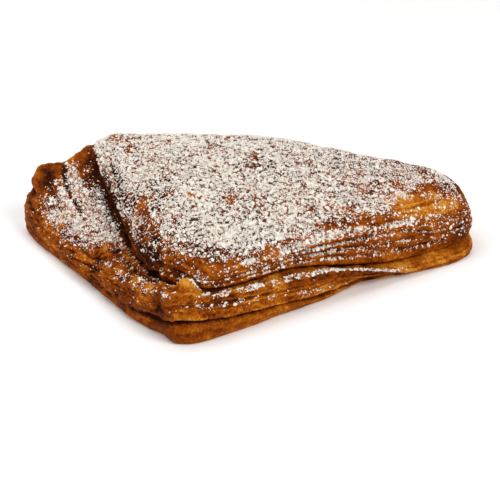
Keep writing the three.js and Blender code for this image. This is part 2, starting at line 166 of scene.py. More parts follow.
# Face of the lip: share of its height, distance in from the rim, shares of ledge, lean and tuck, and
# what a rounded rim adds to the distance. Swells along the rim have a width and a start.
LIP_FACE = ((0.35, -0.3, 0, 0.15, 0.6, 0), (0.52, 0, 0, 0.4, 0.38, 0.2), (0.59, 0.2, 1, 0.6, 0.12, 0.35),
            (0.68, 0.2, 0.7, 0.65, 0, 0.6), (0.88, 0.5, 0.6, 0.85, 0, 1.5))
LIP_TOP_INSET = 1.5
LIP_TOP_ROUND = 2.6
LIP_TOP_LEDGE = 0.5
LIP_WAVE = 0.3
LIP_WAVE_SWELLS = (11, 11)
VALLEY = 403
VALLEY_WIDTH = 2.6
VALLEY_DEPTH = 1.5

# Shelf of the lower leaf, the seam, and the layered edge of the upper leaf.
SHELF_RINGS = 5
SEAM_DEPTH = ((NEAR, 2.6), (FRONT_A, 2.9), (FRONT_D, 2.9), (LEFT, 3.4), (370, 2.4), (LEFT_C, 1.6),
              (LEFT_D, 1.6))
SHEET_SHOW = ((NEAR, 0.25), (FRONT_A, 0.35), (FRONT_B, 0.7), (FRONT_C, 1), (RIGHT, 0.9), (END, 0.6),
              (LEFT_B, 0.5), (LEFT_C, 0.3))
SEAM_LEAST = 0.8
SEAM_RISE = 0.2
SEAM_HOLLOW = 6
LEAF_EDGE_RISE = ((NEAR, 1.8), (10, 1.2), (FRONT_A, 0.9), (FRONT_D, 0.9), (255, 0.9), (END, 1.8),
                  (LEFT, 2.5), (LEFT_A, 3), (LEFT_B, 3.4), (368, 5.6), (LEFT_C, 4.2), (398, 3))
LEAF_EDGE_SHARE = 0.62
LEAF_EDGE_INSET = 0.3
LEAF_EDGE_RAGGED = 0.5
LEAF_EDGE_SWELLS = (9, 21)
LAYERS = 3
LAYER_FIRST = 0.2
LAYER_GAP = 0.29
LAYER_OUT = 0.2
LAYER_BACK = 0.2
LAYER_RAGGED = 0.35
LAYER_SWELLS = ((9, 41), (9, 46), (9, 51))
CRACK_FIRST = 0.31
CRACK_GAP = 0.27
CRACK_INSET = 0.1
CRACK_BACK = 0.25
CRACK_DEPTH = 1
CRACK_MEAN = 0.55
CRACK_SPREAD = 0.75
CRACK_SWELLS = ((12, 31), (12, 38), (12, 45))
ROLL_INSETS = (1, 2.6, 5, 8, 12)

# Sizes of the top: the ridge near the fold, the slopes to both ends and the fall to the open edges.
RIDGE_HEIGHT = 40.8
RIDGE_Y = 84
RIDGE_ROUND = 0.006
RIGHT_SLOPE = 0.213
RIGHT_SLOPE_FROM = 4
LEFT_SLOPE = 0.075
LEFT_SLOPE_FROM = -6
SLOPE_BLEND = 6
EDGE_HEIGHT = 22.6
FRONT_REACH = 56
LEFT_REACH = 30
LEFT_SHARE = 0.66
LEFT_FADE_Y = 108
LEFT_FADE = 62
FALL_LIMIT = 1.08
FALL_BLEND = 3
BLISTER_WIDTH = 16
BLISTER_HEIGHT = 0.7
TOP_KNOB = (-48, 92)
TOP_KNOB_RADIUS = 5.5
TOP_KNOB_HEIGHT = 1.7

# What stands on the left shelf: a flake, a burnt knob at the far corner and the bulging end of the fold.
FLAKE_X = -64
FLAKE_WIDTH = 5
FLAKE_RISE = 1.2
FLAKE_FROM_Y = 60
FLAKE_FADE = 12
KNOB = (-73, 88.5)
KNOB_RADIUS = 6.5
KNOB_HEIGHT = 3.1
BULGE = (-57, 95)
BULGE_RADIUS = 6
BULGE_HEIGHT = 2.4
LUMP_FROM = (0.3, 0.9)

# Fineness of the skin: stations around it, rings between each two levels and rings over the crown.
SOLID_STATIONS = 124
SKIN_STATIONS = 480
RIM_SAMPLES = 6000
STATION_SHARE = ((NEAR, 1), (135, 1), (160, 0.55), (250, 0.55), (275, 1), (LEFT_A, 0.9))
RINGS_BETWEEN = (3, 4, 4, 4, 4, 4, 4, 3, 3, 4, 4, 4, 4, 4, 4, 4, 4, 4, 5, 5, 5, 5, 5, 5, 4, 4, 5, 6, 7)
CROWN_RINGS = 70

# Shares around the rim: the rough wing on the left, the pale nose on the right and the upper leaf's roll
# along the left.
WING = ((NEAR, 0), (FRONT_D, 0), (END, 0), (LEFT, 0.2), (LEFT_A, 0.45), (340, 0.8), (LEFT_B, 1),
        (LEFT_C, 1), (LEFT_D, 0.5))
NOSE = ((NEAR, 0), (LIFT, 0), (RIGHT, 1), (BACK_RIGHT, 0.7), (FOLD_A, 0), (LEFT_C, 0))
OFF_WING = tuple((place, 1 - share) for place, share in WING)
OFF_NOSE = tuple((place, 1 - share) for place, share in NOSE)
LEFT_ROLL = ((NEAR, 0), (FRONT_D, 0), (STEP, 0), (280, 1), (LEFT_C, 1), (LEFT_D, 0))

# Sheets of dough at the open edges: from level, to level, number of sheets and start of their pattern. They
# wave along the rim, and each stands out or back by a share of the sheet depth, with split edges between.
LEAF_SHEETS = (LEAF_EDGE, RIM + 1.6, 7, 51)
LIP_SHEETS = (LIP_EDGE + 0.3, LIP_TOP, 4, 71)
LEAF_SHEET_OUT = 0.8
LEAF_SPLIT_DEPTH = 0.9
LIP_SHEET_OUT = 0.6
LIP_SPLIT_DEPTH = 0.8
SHEET_WAVE = 0.55
SHEET_WAVE_WIDTH = 23
SHEET_WANDER = 0.3
SHEET_WANDER_SWELLS = 2
SHEET_WIDTH = 8
SHEET_STARTS_APART = 17.3
SHEET_LAP = (0.7, 1)
SPLIT_WIDTH = 9
SPLIT_STARTS_APART = 9.1
SPLIT_GAPE = (-0.1, 0.6)
SPLIT_OPENING = 0.13

# Unevenness of the crust in millimetres, with the levels that it covers and how softly they end.
TOP_BLISTERS = (Swells(6.5, 6.5, (0, 7)), Swells(2.9, 2.9, (0, 13), strength=0.5))
TOP_BLISTER_LEVELS = (RIM, RIM + 2)
SHELF_BUMPS = (Swells(5.2, 5.2, (0, 29), strength=0.5), Swells(2.3, 2.3, (0, 37), strength=0.25))
SHELF_BUMP_LEVELS = (LIP_TOP, SEAM, 2)
PITS = (Swells(4, 4, slide=(STILL, 2.5), strength=0.2),)
PIT_LEVELS = (SOLE_EDGE + 1, LIP_TOP)
GRIT = (Swells(1.7, 1.7, (0, 53), (3, 1.1), 0.13),)
GRIT_LEVELS = (SOLE_EDGE + 0.5, CROWN)
WING_CRAGS = (Swells(7, 7, (0, 47), (5, -6), 0.75), Swells(7 / 2.3, 3, (0, 43), (5 / 2.3, 2.4), 0.375))
WING_CRAG_LEVELS = (SOLE_EDGE + 1, LIP_TOP + 2.5, 2)
BACK_SWELLS = (Swells(12, 7, (0, 171), strength=0.7), Swells(4.7, 3.6, (0, 173), (9, STILL), 0.4))
BACK_LEVELS = (SOLE_EDGE + 0.8, RIM + 1, 1.5)

# Crags at the near corner, and along the edge of the upper leaf near it.
CRAGS = (Swells(3.6, 3.6, (5, 0), (STILL, 5)), Swells(1.8, 1.8, (0, 19), (STILL, 2), 0.6))
CORNER = (-26, 22)
CORNER_RADIUS = 14
NEAR_LUMPS = (-34, 20)
NEAR_LUMPS_RADIUS = 16
NEAR_LUMPS_SHARE = 0.8
CORNER_CRAG_HEIGHT = 0.5
CORNER_CRAG_LEVELS = (LIP_TOP - 3, LIP_TOP)
EDGE_CRAG_HEIGHT = 0.45
EDGE_CRAG_LEVELS = (LEAF_EDGE - 0.5, RIM + 2, 1)
EDGE_CRAGS = ((NEAR, 0.4), (10, 0), (346, 0), (362, 0.7), (LEFT_C, 1), (LEFT_D, 0.7))

# Flaky plates of the lip, the base and the folded back: each laps over the next with a sharp edge.
PLATE_WIDTH = 9
PLATE_HEIGHT = 3.4
PLATE_FINER = 2.1
PLATE_LEAN = 0.25 * PLATE_HEIGHT / PLATE_WIDTH
PLATES = (Swells(PLATE_WIDTH, PLATE_HEIGHT),
          Swells(PLATE_WIDTH / PLATE_FINER, PLATE_HEIGHT / PLATE_FINER, (7, 3), strength=0.5))
PLATE_STEPS = 2.5
PLATE_LAP = (0.7, 1)
PLATE_EDGE = 0.14
PLATE_RISE = 0.7
PLATE_EDGE_DEPTH = 0.25
FLAKY_LEVELS = (SOLE_EDGE + 1.5, SEAM - 1, 1)
FLAKY_LESS_ON_NOSE = 0.75
FLAKY_PLAIN = 0.55
FLAKY_BASE = 0.5
FLAKY_BACK = 0.5

# Lines in the crust. The crevice on the left shelf and the crease along the top's left edge are places of
# depth and of x, and show from and to distances about their ends. The fold line along the left lip is
# places along the rim and levels.
CREVICE = ((71.3, -58.1), (78.5, -62.8), (85.9, -64.8), (93.3, -66.7))
CREVICE_FADE_IN = (-5, 2)
CREVICE_FADE_OUT = (-6, 0)
CREVICE_LEVELS = (LIP_TOP - 1, SEAM, 2)
CREVICE_DEPTH = 1.1
CREVICE_AT = 0.6
CREVICE_WIDTH = 0.8
CREVICE_BANK_HEIGHT = 0.9
CREVICE_BANK_AT = -2.4
CREVICE_BANK_WIDTH = 2.2
CREASE = ((47, -38.2), (49.6, -38.9), (62, -42.5), (74.7, -45.8), (79, -47.5))
CREASE_FADE_IN = (-4, 3)
CREASE_FADE_OUT = (-3, 3)
CREASE_LEVELS = (RIM, RIM + 1)
CREASE_DEPTH = 1.1
CREASE_WIDTH = 0.8
FOLD_LINE = ((336, 7.4), (344, 7.8), (350, 8.8), (356, 9.5), (366, 9.6), (374, 9.2))
FOLD_LINE_SHOW = ((NEAR, 0), (340, 0), (348, 1), (360, 1), (368, 0))
FOLD_LINE_WIDTH = 0.55
FOLD_LINE_DEPTH = 1.2
FOLD_LINE_RAGGED = 0.3
FOLD_LINE_SWELLS = (4, 131)

# The notch under the knob, as a place along the rim and a height, the golden blister on the shelf at the
# near corner, and the crumbs that fill the near end of the gap beside the upper leaf.
NOTCH = (306, 17.5)
NOTCH_SIZE = (4, 1.5)
NOTCH_DEPTH = 2.4
NOTCH_LEVELS = (LIP_EDGE, LIP_TOP + 1)
NEAR_BLISTER = (-18.9, 12.4)
NEAR_BLISTER_RADIUS = 2.7
NEAR_BLISTER_HEIGHT = 3.6
NEAR_BLISTER_FLAT = 1.25
NEAR_BLISTER_LEVELS = (LIP_TOP - 0.5, SEAM - 1, 1.5)
GAP_FILL = ((NEAR, 0), (356, 0), (366, 2.2), (376, 2.8), (LEFT_C, 2), (398, 0.8), (LEFT_D, 0.3))
GAP_CRUMBS = (Swells(2.4, 2.4, (7, 31), strength=0.5),)
GAP_CRUMB_MEAN = 0.75
GAP_LEVELS = (LIP_TOP + 3.5, SEAM + 0.4, 1.2)

# How much of a crack's painted shade each kind of crack has.
LIP_SPLIT_SHADE = 0.5
PLATE_EDGE_SHADE = 0.7

# Browning from 0 to 1, as amounts around the rim: the pale lip, the dark line under the powder on it,
# painted light on the base in the shade under the lifted front, the baked base and painted shade in the
# crevice at the near corner, the pale lip of the wing, and painted shade in the seam.
CRUST_BROWN = 0.55
LIP_PALE = ((NEAR, 0.11), (FRONT_A, 0.13), (FRONT_B, 0.2), (LIFT, 0.2), (RIGHT, 0.18), (LEFT_C, 0.12))
UNDER_LINE = ((NEAR, 0.06), (48, 0.06), (60, 0.34), (90, 0.34), (LEFT_C, 0.06))
BASE_PAINTED_LIGHT = ((NEAR, 0), (48, 0), (60, 0.14), (86, 0.14), (100, 0), (LEFT_C, 0))
BAKED_BASE = ((NEAR, 0.13), (8, 0.117), (16, 0.039), (24, 0), (380, 0), (396, 0.104))
GROOVE_SHADE = ((NEAR, 0.3), (FRONT_A, 0.27), (38, 0.075), (FRONT_B, 0), (380, 0), (396, 0.27))
WING_PALE = ((NEAR, 0), (342, 0), (352, 0.07), (372, 0.07), (382, 0))
SEAM_SHADE = ((NEAR, 0.35), (364, 0.35), (376, 0.12), (396, 0.12), (404, 0.35))
POWDER_LINE = ((NEAR, 0.35), (6, 0.8), (FRONT_C, 1), (86, 1), (97, 0), (RIGHT, 0), (LEFT_C, 0),
               (LEFT_D, 0.12))

# Bands of browning, some of them painted shade and painted light: an amount, the levels and what multiplies
# it around the rim.
BROWNED_AND_SHADED_BANDS = (
    (-0.06, (SOLE_EDGE, GROOVE), OFF_WING),
    (1, (SOLE_EDGE, GROOVE), BAKED_BASE),
    # Painted light on the base where it lies in shade under the lifted front.
    (-1, (SOLE_EDGE, LIP_EDGE + 0.8), BASE_PAINTED_LIGHT),
    # Painted shade in the crevice under the lip, at the near corner.
    (1, (GROOVE - 0.5, GROOVE + 0.6, 0.5), GROOVE_SHADE),
    (-1, (LIP_EDGE, LIP_TOP), LIP_PALE, OFF_WING),
    (1, (LIP_TOP - 2.4, LIP_TOP - 0.3), UNDER_LINE, POWDER_LINE),
    (-1, (LIP_EDGE, SEAM - 1), WING_PALE),
    (-0.2, (LIP_TOP, SEAM), SEAM_OPEN, OFF_WING),
    (-0.15, (SOLE_EDGE, SEAM), NOSE),
    # Painted shade in the seam between the two leaves.
    (1, (SEAM - 1.5, LEAF_EDGE, 1), SEAM_SHADE, SEAM_OPEN, OFF_NOSE),
    (-0.05, (LEAF_EDGE, RIM + 1.5), SEAM_OPEN, OFF_NOSE),
    (0.03, (LEAF_EDGE, RIM + 1.5), SEAM_OPEN, NOSE),
    (0.02, (LEAF_EDGE + 0.5, LEAF_EDGE + 5, 1.5), SEAM_OPEN, NOSE),
    # Painted shade on the layered left edge of the upper leaf, where the light from the left catches it.
    (0.12, (LEAF_EDGE - 0.5, RIM - 2, 1), LEFT_ROLL),
)

# More bands, from a place on the left to the near corner; the first is painted shade in the hollow behind
# the lip.
NEAR_LEFT = (358, 368)
NEAR_LEFT_BANDS = (
    # Painted shade in the hollow between the lip and the upper leaf.
    (0.03, (LIP_TOP + 0.6, LEAF_EDGE, 1.2)),
    (0.12, (SOLE_EDGE + 2, LIP_EDGE + 2.2, 1.5)),
)

# Spots on the top by x, y and radius: bare ones without sugar, burnt ones and golden ones.
BARE_SPOTS = ((-35, 49, 2.2), (-31, 48.4, 1.7), (-27, 47.3, 1.5), (-24, 46.6, 1.3), (-35, 46.4, 1.5),
              (-34.2, 43.4, 1.5), (-33.4, 40.2, 1.5), (-32.6, 37, 1.6), (-34, 32, 5), (-18.3, 44.4, 1.6),
              (-29.7, 36.3, 1.5), (-23.6, 31.9, 1.6), (-4.3, 46.8, 2.4), (-6.2, 44.6, 1.8),
              (2.7, 72.5, 1.6), (2.6, 69, 1.9), (2.9, 65, 2), (1.4, 81.4, 1.5), (-6.6, 82.3, 1.5),
              (-27.5, 81.4, 1.7), (-46.6, 90.5, 1.9), (-41.5, 82, 1.8), (21.8, 74.5, 1.8), (18, 72.5, 1.4),
              (34.5, 54, 2.6), (20.6, 50, 2.2), (40, 64.8, 2), (51.3, 74, 2.4), (46.5, 73, 1.6),
              (62.5, 75, 2.6))
DARK_SPOTS = ((63.6, 86.6, 1.5), (44.3, 71.7, 1.1), (3.4, 75.2, 1.2), (-44, 91, 1.1))
GOLDEN_SPOTS = ((54.5, 63.5, 6), (68, 69.5, 5.5), (73.5, 72.5, 4.5))

# Browning of the top: all of it, its spots and the streaks along the nose, and painted shade in the crease.
TOP_LEVELS = (RIM + 1, RIM + 3)
TOP_BROWN = 0.14
BARE_SPOT_PALE = 0.16
DARK_SPOT_BROWN = 0.3
GOLDEN_SPOT_PALE = 0.3
GOLDEN_LEVELS = (RIM + 0.5, RIM + 2.5)
NOSE_STREAKS = (Swells(1.6, 11, (0, 79), strength=0.13),)
STREAK_LEVELS = (RIM, RIM + 2)
CREASE_SHADE = 0.16
CREASE_SHADE_WIDTH = 0.9

# Browning of the shelf: more towards its far end by y, with painted shadow of the upper leaf beside it, the
# bulge paler and painted shade in the crevice.
SHELF_LEVELS = (LIP_TOP, SEAM)
SHELF_BROWN = ((50, 0), (58, 0.1), (76, 0.1), (86, 0.17))
SHELF_INNER_SHADE = 0.1
SHELF_INNER_X = (-62, -56)
SHELF_INNER_Y = (66, 76)
BULGE_PALE = 0.1
CREVICE_SHADE = 0.12
CREVICE_SHADE_AT = 0.4
CREVICE_SHADE_WIDTH = 0.9

# Browning and painted shade of the strip along the upper leaf's left edge, by distance in from it and by y.
STRIP_BROWN_AND_SHADE = ((48, 0.168), (64, 0.24), (76, 0.24), (82, 0))
STRIP_INSET = (3, 6)
STRIP_LEVELS = (LEAF_EDGE - 0.5, LEAF_EDGE + 0.5)

# Browning of the knob, the near corner, its blister and the folded back by height, and painted shade in the
# corner's valley.
KNOB_FULL = 1.6
KNOB_BROWN = 0.11
KNOB_BROWN_RADIUS = KNOB_RADIUS + 0.5
KNOB_LEVELS = (LIP_EDGE + 2, SEAM, 4)
CORNER_BROWN = 0.06
CORNER_LEVELS = (SEAM, SEAM + 1)
VALLEY_SHADE = 0.14
VALLEY_LEVELS = (LIP_EDGE, LIP_TOP + 1)
NEAR_BLISTER_PALE = 0.2
NEAR_BLISTER_PALE_LEVELS = (LIP_TOP - 0.5, SEAM - 0.5)
BACK_BROWN = ((3, -0.13), (24, 0))
BACK_BROWN_LEVELS = (SOLE_EDGE, RIM + 1, 1.5)

# Painted shade in cracks, painted shade in hollows and painted light on ridges by their depth in
# millimetres, and browning of patches.
CRACK_SHADE = 0.2
HOLLOW_SHADE = 0.25
HOLLOW_DEPTH = 0.4
HOLLOW_RINGS = 2
RIDGE_LIGHT_MOST = 0.5
BROWN_PATCHES = (Swells(9, 9, (0, 61), strength=0.13), Swells(3.4, 3.4, (0, 67), (3, STILL), 0.1))
WING_PATCHES = (Swells(2.6, 2.6, (0, 73), (4, 3), 0.16),)

# Unevenness of the sugar: its ragged edges in millimetres, patches, bunches and blobs on thin stretches,
# and the gate that lets it lie on some of an edge. What the bunches and blobs give goes by their swell.
SUGAR_EDGE = (Swells(5, 5, (0, 97), strength=1.4), Swells(2.1, 2.1, (0, 101), strength=0.8))
SUGAR_PATCHES = (Swells(11, 11, (0, 83), strength=0.5), Swells(4.5, 4.5, (0, 89), strength=0.5))
SUGAR_BUNCHES = (Swells(4.5, 4.5, (3, 157)),)
SUGAR_BUNCH_DUST = ((-0.4, 0.4), (0.5, 1.5))
SUGAR_BLOBS = (Swells(3.1, 3.1, (9, 163), (STILL, 3.1)),)
SUGAR_BLOB_DUST = ((0.2, 0.35), (0.55, 3.2))
SUGAR_GATE = (Swells(6, 6, (0, 109)),)
SUGAR_GATE_PATCHY = 0.5
SUGAR_GATE_OPENS = (-0.5, 0.5)

# Sugar on the top. The thick sugar ends at a distance in from the front edge that depends on x, more softly
# at the left. In front of it lie blobs, or bunches from a place at the right. Amounts go by x and y.
SHOULDER = ((-32, 17), (-20, 12.4), (-10, 7.6), (0, 4.6), (8, 5.2), (14, 4.6), (24, 5.2), (32, 6.4),
            (38, 5.6), (42, 4.6), (47, 6), (53, 9), (59, 13), (71, 14.5), (80, 16))
SHOULDER_SOFT = ((-8, 3.5), (4, 1.8))
THIN_BLOBS = 0.14
THIN_BUNCHES = 0.23
THIN_BUNCHES_X = (40, 60)
TOP_DUST_LEVELS = (RIM + 0.5, RIM + 2)
TOP_DUST_UP = (0.3, 0.65)
ROLL_DUST_LOWER = 1.5
ROLL_DUST_STEEPER = 0.3
TOP_DUST = ((-35, 0.48), (-10, 0.62), (0, 0.62), (60, 0.37))
NEAR_MORE_X = ((-30, 0), (-14, 1), (10, 1), (30, 0))
NEAR_MORE_Y = ((42, 0.28), (60, 0))
TOP_PATCH_MEAN = 0.85
TOP_PATCH_SPREAD = 0.3

# Stretches of the top with less sugar: spots, the far right, the right end and the crease.
SPOT_BARE = 0.9
SPOT_RAGGED_X = 0.35
SPOT_RAGGED_Y = 0.7
FAR_RIGHT_BARE = 0.3
FAR_RIGHT_X = (-15, 10)
FAR_RIGHT_Y = (82, 88)
END_BARE = (77, 75)
END_BARE_RADIUS = 6.5
END_BARE_SHARE = 0.75
END_RAGGED = 0.6
CREASE_BARE = 0.75
CREASE_BARE_WIDTH = 0.6

# Sugar on the strip along the upper leaf's left edge, and on the roll beside it, both by y.
STRIP_DUST = 0.13
STRIP_DUST_Y = ((62, STRIP_DUST), (72, 0.36))
STRIP_WIDTH = (1.5, 6)
STRIP_END_Y = (74, 81)
STRIP_WIDER = ((56, 0.9), (66, 0))
ROLL_SPECKLED_Y = ((30, 0.05), (40, 0.1))
ROLL_STRIP_Y = (52, 64)
ROLL_END_Y = (78, 84)
ROLL_END_DUST = 0.5
ROLL_DUST_LEVELS = (LEAF_EDGE + 3, RIM + 1.5)
ROLL_DUST_UP = (-0.2, 0.4)

# Sugar on the layered edge of the upper leaf: a film and what the gate lets lie, less at the near corner,
# only high up from a place at the left, in blobs at the left, and a broken line above the rim.
FACE_DUST = ((NEAR, 0.6), (FRONT_A, 1), (FRONT_B, 1.8), (LIFT, 1.6), (FRONT_D, 0.8), (LEFT_C, 0.6))
FACE_DUST_LEVELS = (LEAF_EDGE + 1, RIM + 1)
FACE_FILM = 0.11
FACE_FILM_UP = (-0.3, 0.3)
FACE_LYING = 0.24
FACE_LYING_UP = (0.3, 0.8)
FACE_CORNER_BARE = 0.6
FACE_HIGH_LEVELS = (LEAF_EDGE + 1, LEAF_EDGE + 4)
FACE_HIGH_X = (25, 35)
FACE_BLOBS_X = (-5, 15)
FACE_LINE = ((NEAR, 0), (38, 0), (FRONT_B, 0.8), (FRONT_C, 1), (FRONT_D, 1), (113, 0.8), (124, 0),
             (LEFT_C, 0))
FACE_LINE_RISE = ((NEAR, 0.8), (FRONT_B, 0.8), (FRONT_C, 1), (LIFT, 0.8), (88, 0.5), (96, 0.3),
                  (105, 1.2), (113, 2), (LEFT_C, 0.8))
FACE_LINE_DUST = 0.8
FACE_LINE_WIDTH = 0.42
FACE_LINE_RAGGED = 0.25
FACE_LINE_SWELLS = (5, 151)
FACE_LINE_BREAKS = (Swells(3.2, 3.2, (11, 149)),)
FACE_LINE_WHOLE = (-1, -0.2)

# Sugar along the top of the lip, at the foot of the upper leaf. At the near corner it lies wider and in
# heaps, and from a place on the front edge to the right it is a narrow even line.
LINE_DUST = 0.8
LINE_NEAR_END = 8
LINE_NEAR_REACH = (2.6, 4.4)
LINE_FOOT = (-0.3, 0.5)
LINE_INNER = LIP_TOP + 1
LINE_INNER_NEAR = 4
LINE_OUTER = LIP_TOP - 1
LINE_OUTER_RIGHT = 0.5
LINE_SOFT = 0.5
LINE_HEAPS = (Swells(2.4, 2.4, (3, 137)),)
LINE_HEAPED = (-0.5, 0.4)
LINE_EVEN_RIGHT = 0.75
LINE_GATED = 0.45
LINE_GATED_RIGHT = 0.25

# Spots of sugar on the ledge of the lip: their level, strength and width around the rim.
LEDGE_SPOTS = ((NEAR, 10.2), (4, 9.5), (8, 8.8), (14, 7.9), (FRONT_A, 7.7), (30, 7.4), (38, 6.9),
               (FRONT_B, 6.2), (FRONT_C, 5.9), (LIFT, 5.8), (LEFT_C, 10.2))
POWDER_LEDGE = ((NEAR, 1), (FRONT_B, 0.7), (FRONT_C, 0.5), (LIFT, 0), (LEFT_C, 0), (LEFT_D, 0.5))
LEDGE_DUST = 0.35
LEDGE_WIDTH = ((38, 0.5), (FRONT_C, 0.28))
LEDGE_BREAKS = (Swells(2.6, 2.6, (5, 127)),)
LEDGE_WHOLE = (-0.45, 0.2)

# Sugar on the wing: its strength around the rim and how far in from the rim it starts. It ends at a depth
# that depends on the distance to the right of the crevice, and thins to the right of it at the far end.
WING_DUST = ((NEAR, 0), (FRONT_D, 0), (STEP, 0), (END, 0.8), (LEFT, 1), (LEFT_B, 1), (362, 0.9),
             (372, 0.1), (LEFT_D, 0.1))
WING_EDGE = ((NEAR, 6), (FRONT_D, 2), (END, 3), (315, 4), (LEFT_A, 5), (334, 5.2), (340, 5.4), (346, 6),
             (LEFT_B, 6.8), (355, 8.6), (363, 11.6), (LEFT_C, 14), (LEFT_D, 10))
WING_MOST = 0.46
WING_RAGGED = 1.3
WING_PAST_EDGE = ((-2.5, 0.06), (4.5, 1))
WING_SPECKS_FROM = (-4.5, -1.5)
WING_LEVELS = (LIP_EDGE + 3, SEAM, 2)
WING_UP = (0.2, 0.7)
WING_ALONG = ((56, 0.55), (70, 1.2))
WING_CREVICE_AT = 0.2
WING_CREVICE_WIDTH = 1.1
WING_RIGHT_THIN = 0.38
WING_RIGHT_SIDE = (0, 3)
WING_RIGHT_Y = (60, 72)
WING_END = ((-1, 79), (1, 87), (4, 87), (7, 75))
WING_END_FADE = 6
WING_PAST_END = 0.1
WING_PAST_END_SIDE = (2, 5)
WING_OVERHUNG = (-2.8, 0)
WING_OVERHUNG_RAGGED = 0.4

# A ridge of sugar in the gap beside the upper leaf: its strength and its distance from the leaf.
GAP_RIDGE = ((NEAR, 0), (334, 0), (342, 1), (358, 1), (364, 0))
GAP_RIDGE_CLEAR = ((NEAR, 2.2), (350, 2.2), (358, 0.8), (362, 0))
GAP_RIDGE_DUST = 0.26
GAP_RIDGE_WIDTH = 0.9
GAP_RIDGE_RAGGED = 0.3
GAP_RIDGE_LEVELS = (LIP_TOP, SEAM - 0.5, 1)

# Bits of sugar: clumped on the ridge of the near left lip, and sparse on its face and shelf.
RIDGE_BITS = ((NEAR, 0), (FRONT_D, 0), (354, 0), (366, 1), (394, 1), (LEFT_D, 0.2))
RIDGE_BIT_DUST = 0.16
RIDGE_BIT_LEVELS = (LIP_TOP - 1.8, LIP_TOP + 0.4)
RIDGE_BIT_UP = (-0.1, 0.4)
BIT_CLUMPS = (Swells(2.2, 2.2, (0, 113)),)
BIT_CLUMPED = (0.05, 0.5)
SPARSE_BITS = ((NEAR, 1.6), (FRONT_A, 1.8), (FRONT_B, 1.4), (FRONT_C, 0), (FRONT_D, 0), (END, 0),
               (LEFT, 0), (LEFT_A, 1), (LEFT_D, 1))
SPARSE_LIP_DUST = 0.015
SPARSE_LIP_LEVELS = (LIP_EDGE + 1, LIP_TOP + 0.5)
SPARSE_LIP_UP = (0, 0.5)
SPARSE_SHELF_DUST = 0.035
SPARSE_SHELF_LEVELS = (LIP_TOP + 1, SEAM - 0.8)
SPARSE_SHELF_UP = (0.2, 0.6)

# Drifts of sugar, in millimetres: grains and film both gather in them.
DRIFT_WIDTH = 0.9
DRIFT_DETAIL = 1
DRIFT_SWELL = (0.43, 0.6)
DRIFT_GRAINS = (0.05, 2)

# Shapes of the grains, as shares of their width. Real icing sugar is finer than a pixel, so its grains
# are drawn coarser, about half a millimetre to one millimetre wide.
CHIP = {"Vertices": 3, "Radius Bottom": 0.55, "Depth": 0.8}
LUMP = {"Subdivisions": 1, "Radius": 0.5}
CHIP_THICKNESS = 0.8
LUMP_THICKNESS = 0.5
GRAIN_LEAST = 0.6
GRAIN_MOST = 1.35
STRETCH_LEAST = (0.55, 0.55, 0.7)
STRETCH_MOST = (1.4, 1.4, 1.25)
GRAIN_TILT = 0.5

# Patterns of the crust's colour: width in millimetres, detail, roughness and how much it shifts the tone,
# and the tones at which its colours stand, from golden to burnt.
BLOTCHES = (5, 3, 0.5, 0.6)
CRUMB = (1.1, 5, 0.62, 0.7)
FLECKS = (0.5, 2, 0.5, 0.5)
CRUST_STOPS = (0.05, 0.3, 0.52, 0.75, 0.95)
CRUST_ROUGHNESS = 0.55
CRUST_SPECULAR = 0.02
CRUMB_DEPTH = 0.6 * MM

# The film of sugar: the drift's swell above which it lies, and what a full dusting takes off that, its soft
# edge, and its height. Between the drifts lies painted shade: the sugar's colour darkened, for sugar in the
# shade of its pits.
FILM_FROM = 0.84
FILM_DUSTED = -0.32
FILM_EDGE = (-0.06, 0.1)
FILM_HEIGHT = 0.4
PIT_SHADE_DUSTED = (0.2, 0.7)
PIT_SHADE_MOST = 0.12
PIT_SHADE_TONE = 0.2

# Icing sugar, greyer where it lies loosely.
SUGAR_ROUGHNESS = 0.95
SUGAR_SPECULAR = 0.2
LOOSE_WIDTH = 1.6
LOOSE_DETAIL = 2
LOOSE_SHADE = 0.82
LOOSE_SWELL = (0.3, 0.6)

# The stage, in metres.
TARGET = (1.432 * MM, -6.421 * MM, 16 * MM)
FLOOR_SIZE = 3.0
FLOOR_DROP = 0.05 * MM
FLOOR_ROUGHNESS = 0.9
KEY_SIZE = 0.5
KEY_PLACE = (0.5, -0.6, 0.68)
TOP_SIZE = 0.9
TOP_PLACE = (-0.25, 0.1, 0.95)
FILL_SIZE = 0.5
FILL_PLACE = (-0.7, -0.25, 0.45)
SENSOR_WIDTH = 36


def hex_colour(code):
    """Linear colour of an sRGB hex value."""
    channels = [int(code[start:start + 2], 16) / 255 for start in (0, 2, 4)]
    return tuple(c / 12.92 if c <= 0.04045 else ((c + 0.055) / 1.055) ** 2.4 for c in channels)


class CrustSettings(bpy.types.PropertyGroup):
    """Relief and colours of the baked pastry."""

    sheet_depth: FloatProperty(name="Sheet depth", description="How far sheets of an open edge stand apart",
                               default=0.45 * MM, unit="LENGTH")
    blister_height: FloatProperty(name="Blister height", description="Height of the small blisters on top",
                                  default=0.35 * MM, unit="LENGTH")
    golden: FloatVectorProperty(name="Golden", description="Colour of the palest crust", size=3,
                                subtype="COLOR", default=hex_colour("CC8C30"))
    orange: FloatVectorProperty(name="Orange", description="Colour of lightly baked crust", size=3,
                                subtype="COLOR", default=hex_colour("A0520C"))
    brown: FloatVectorProperty(name="Brown", description="Colour of well baked crust", size=3,
                               subtype="COLOR", default=hex_colour("7A3706"))
    dark: FloatVectorProperty(name="Dark", description="Colour of browned edges", size=3,
                              subtype="COLOR", default=hex_colour("4A1D05"))
    # The burnt colour also serves the painted shade of deep cracks and hollows.
    burnt: FloatVectorProperty(name="Burnt", description="Colour of burnt tips and deep cracks", size=3,
                               subtype="COLOR", default=hex_colour("280C03"))


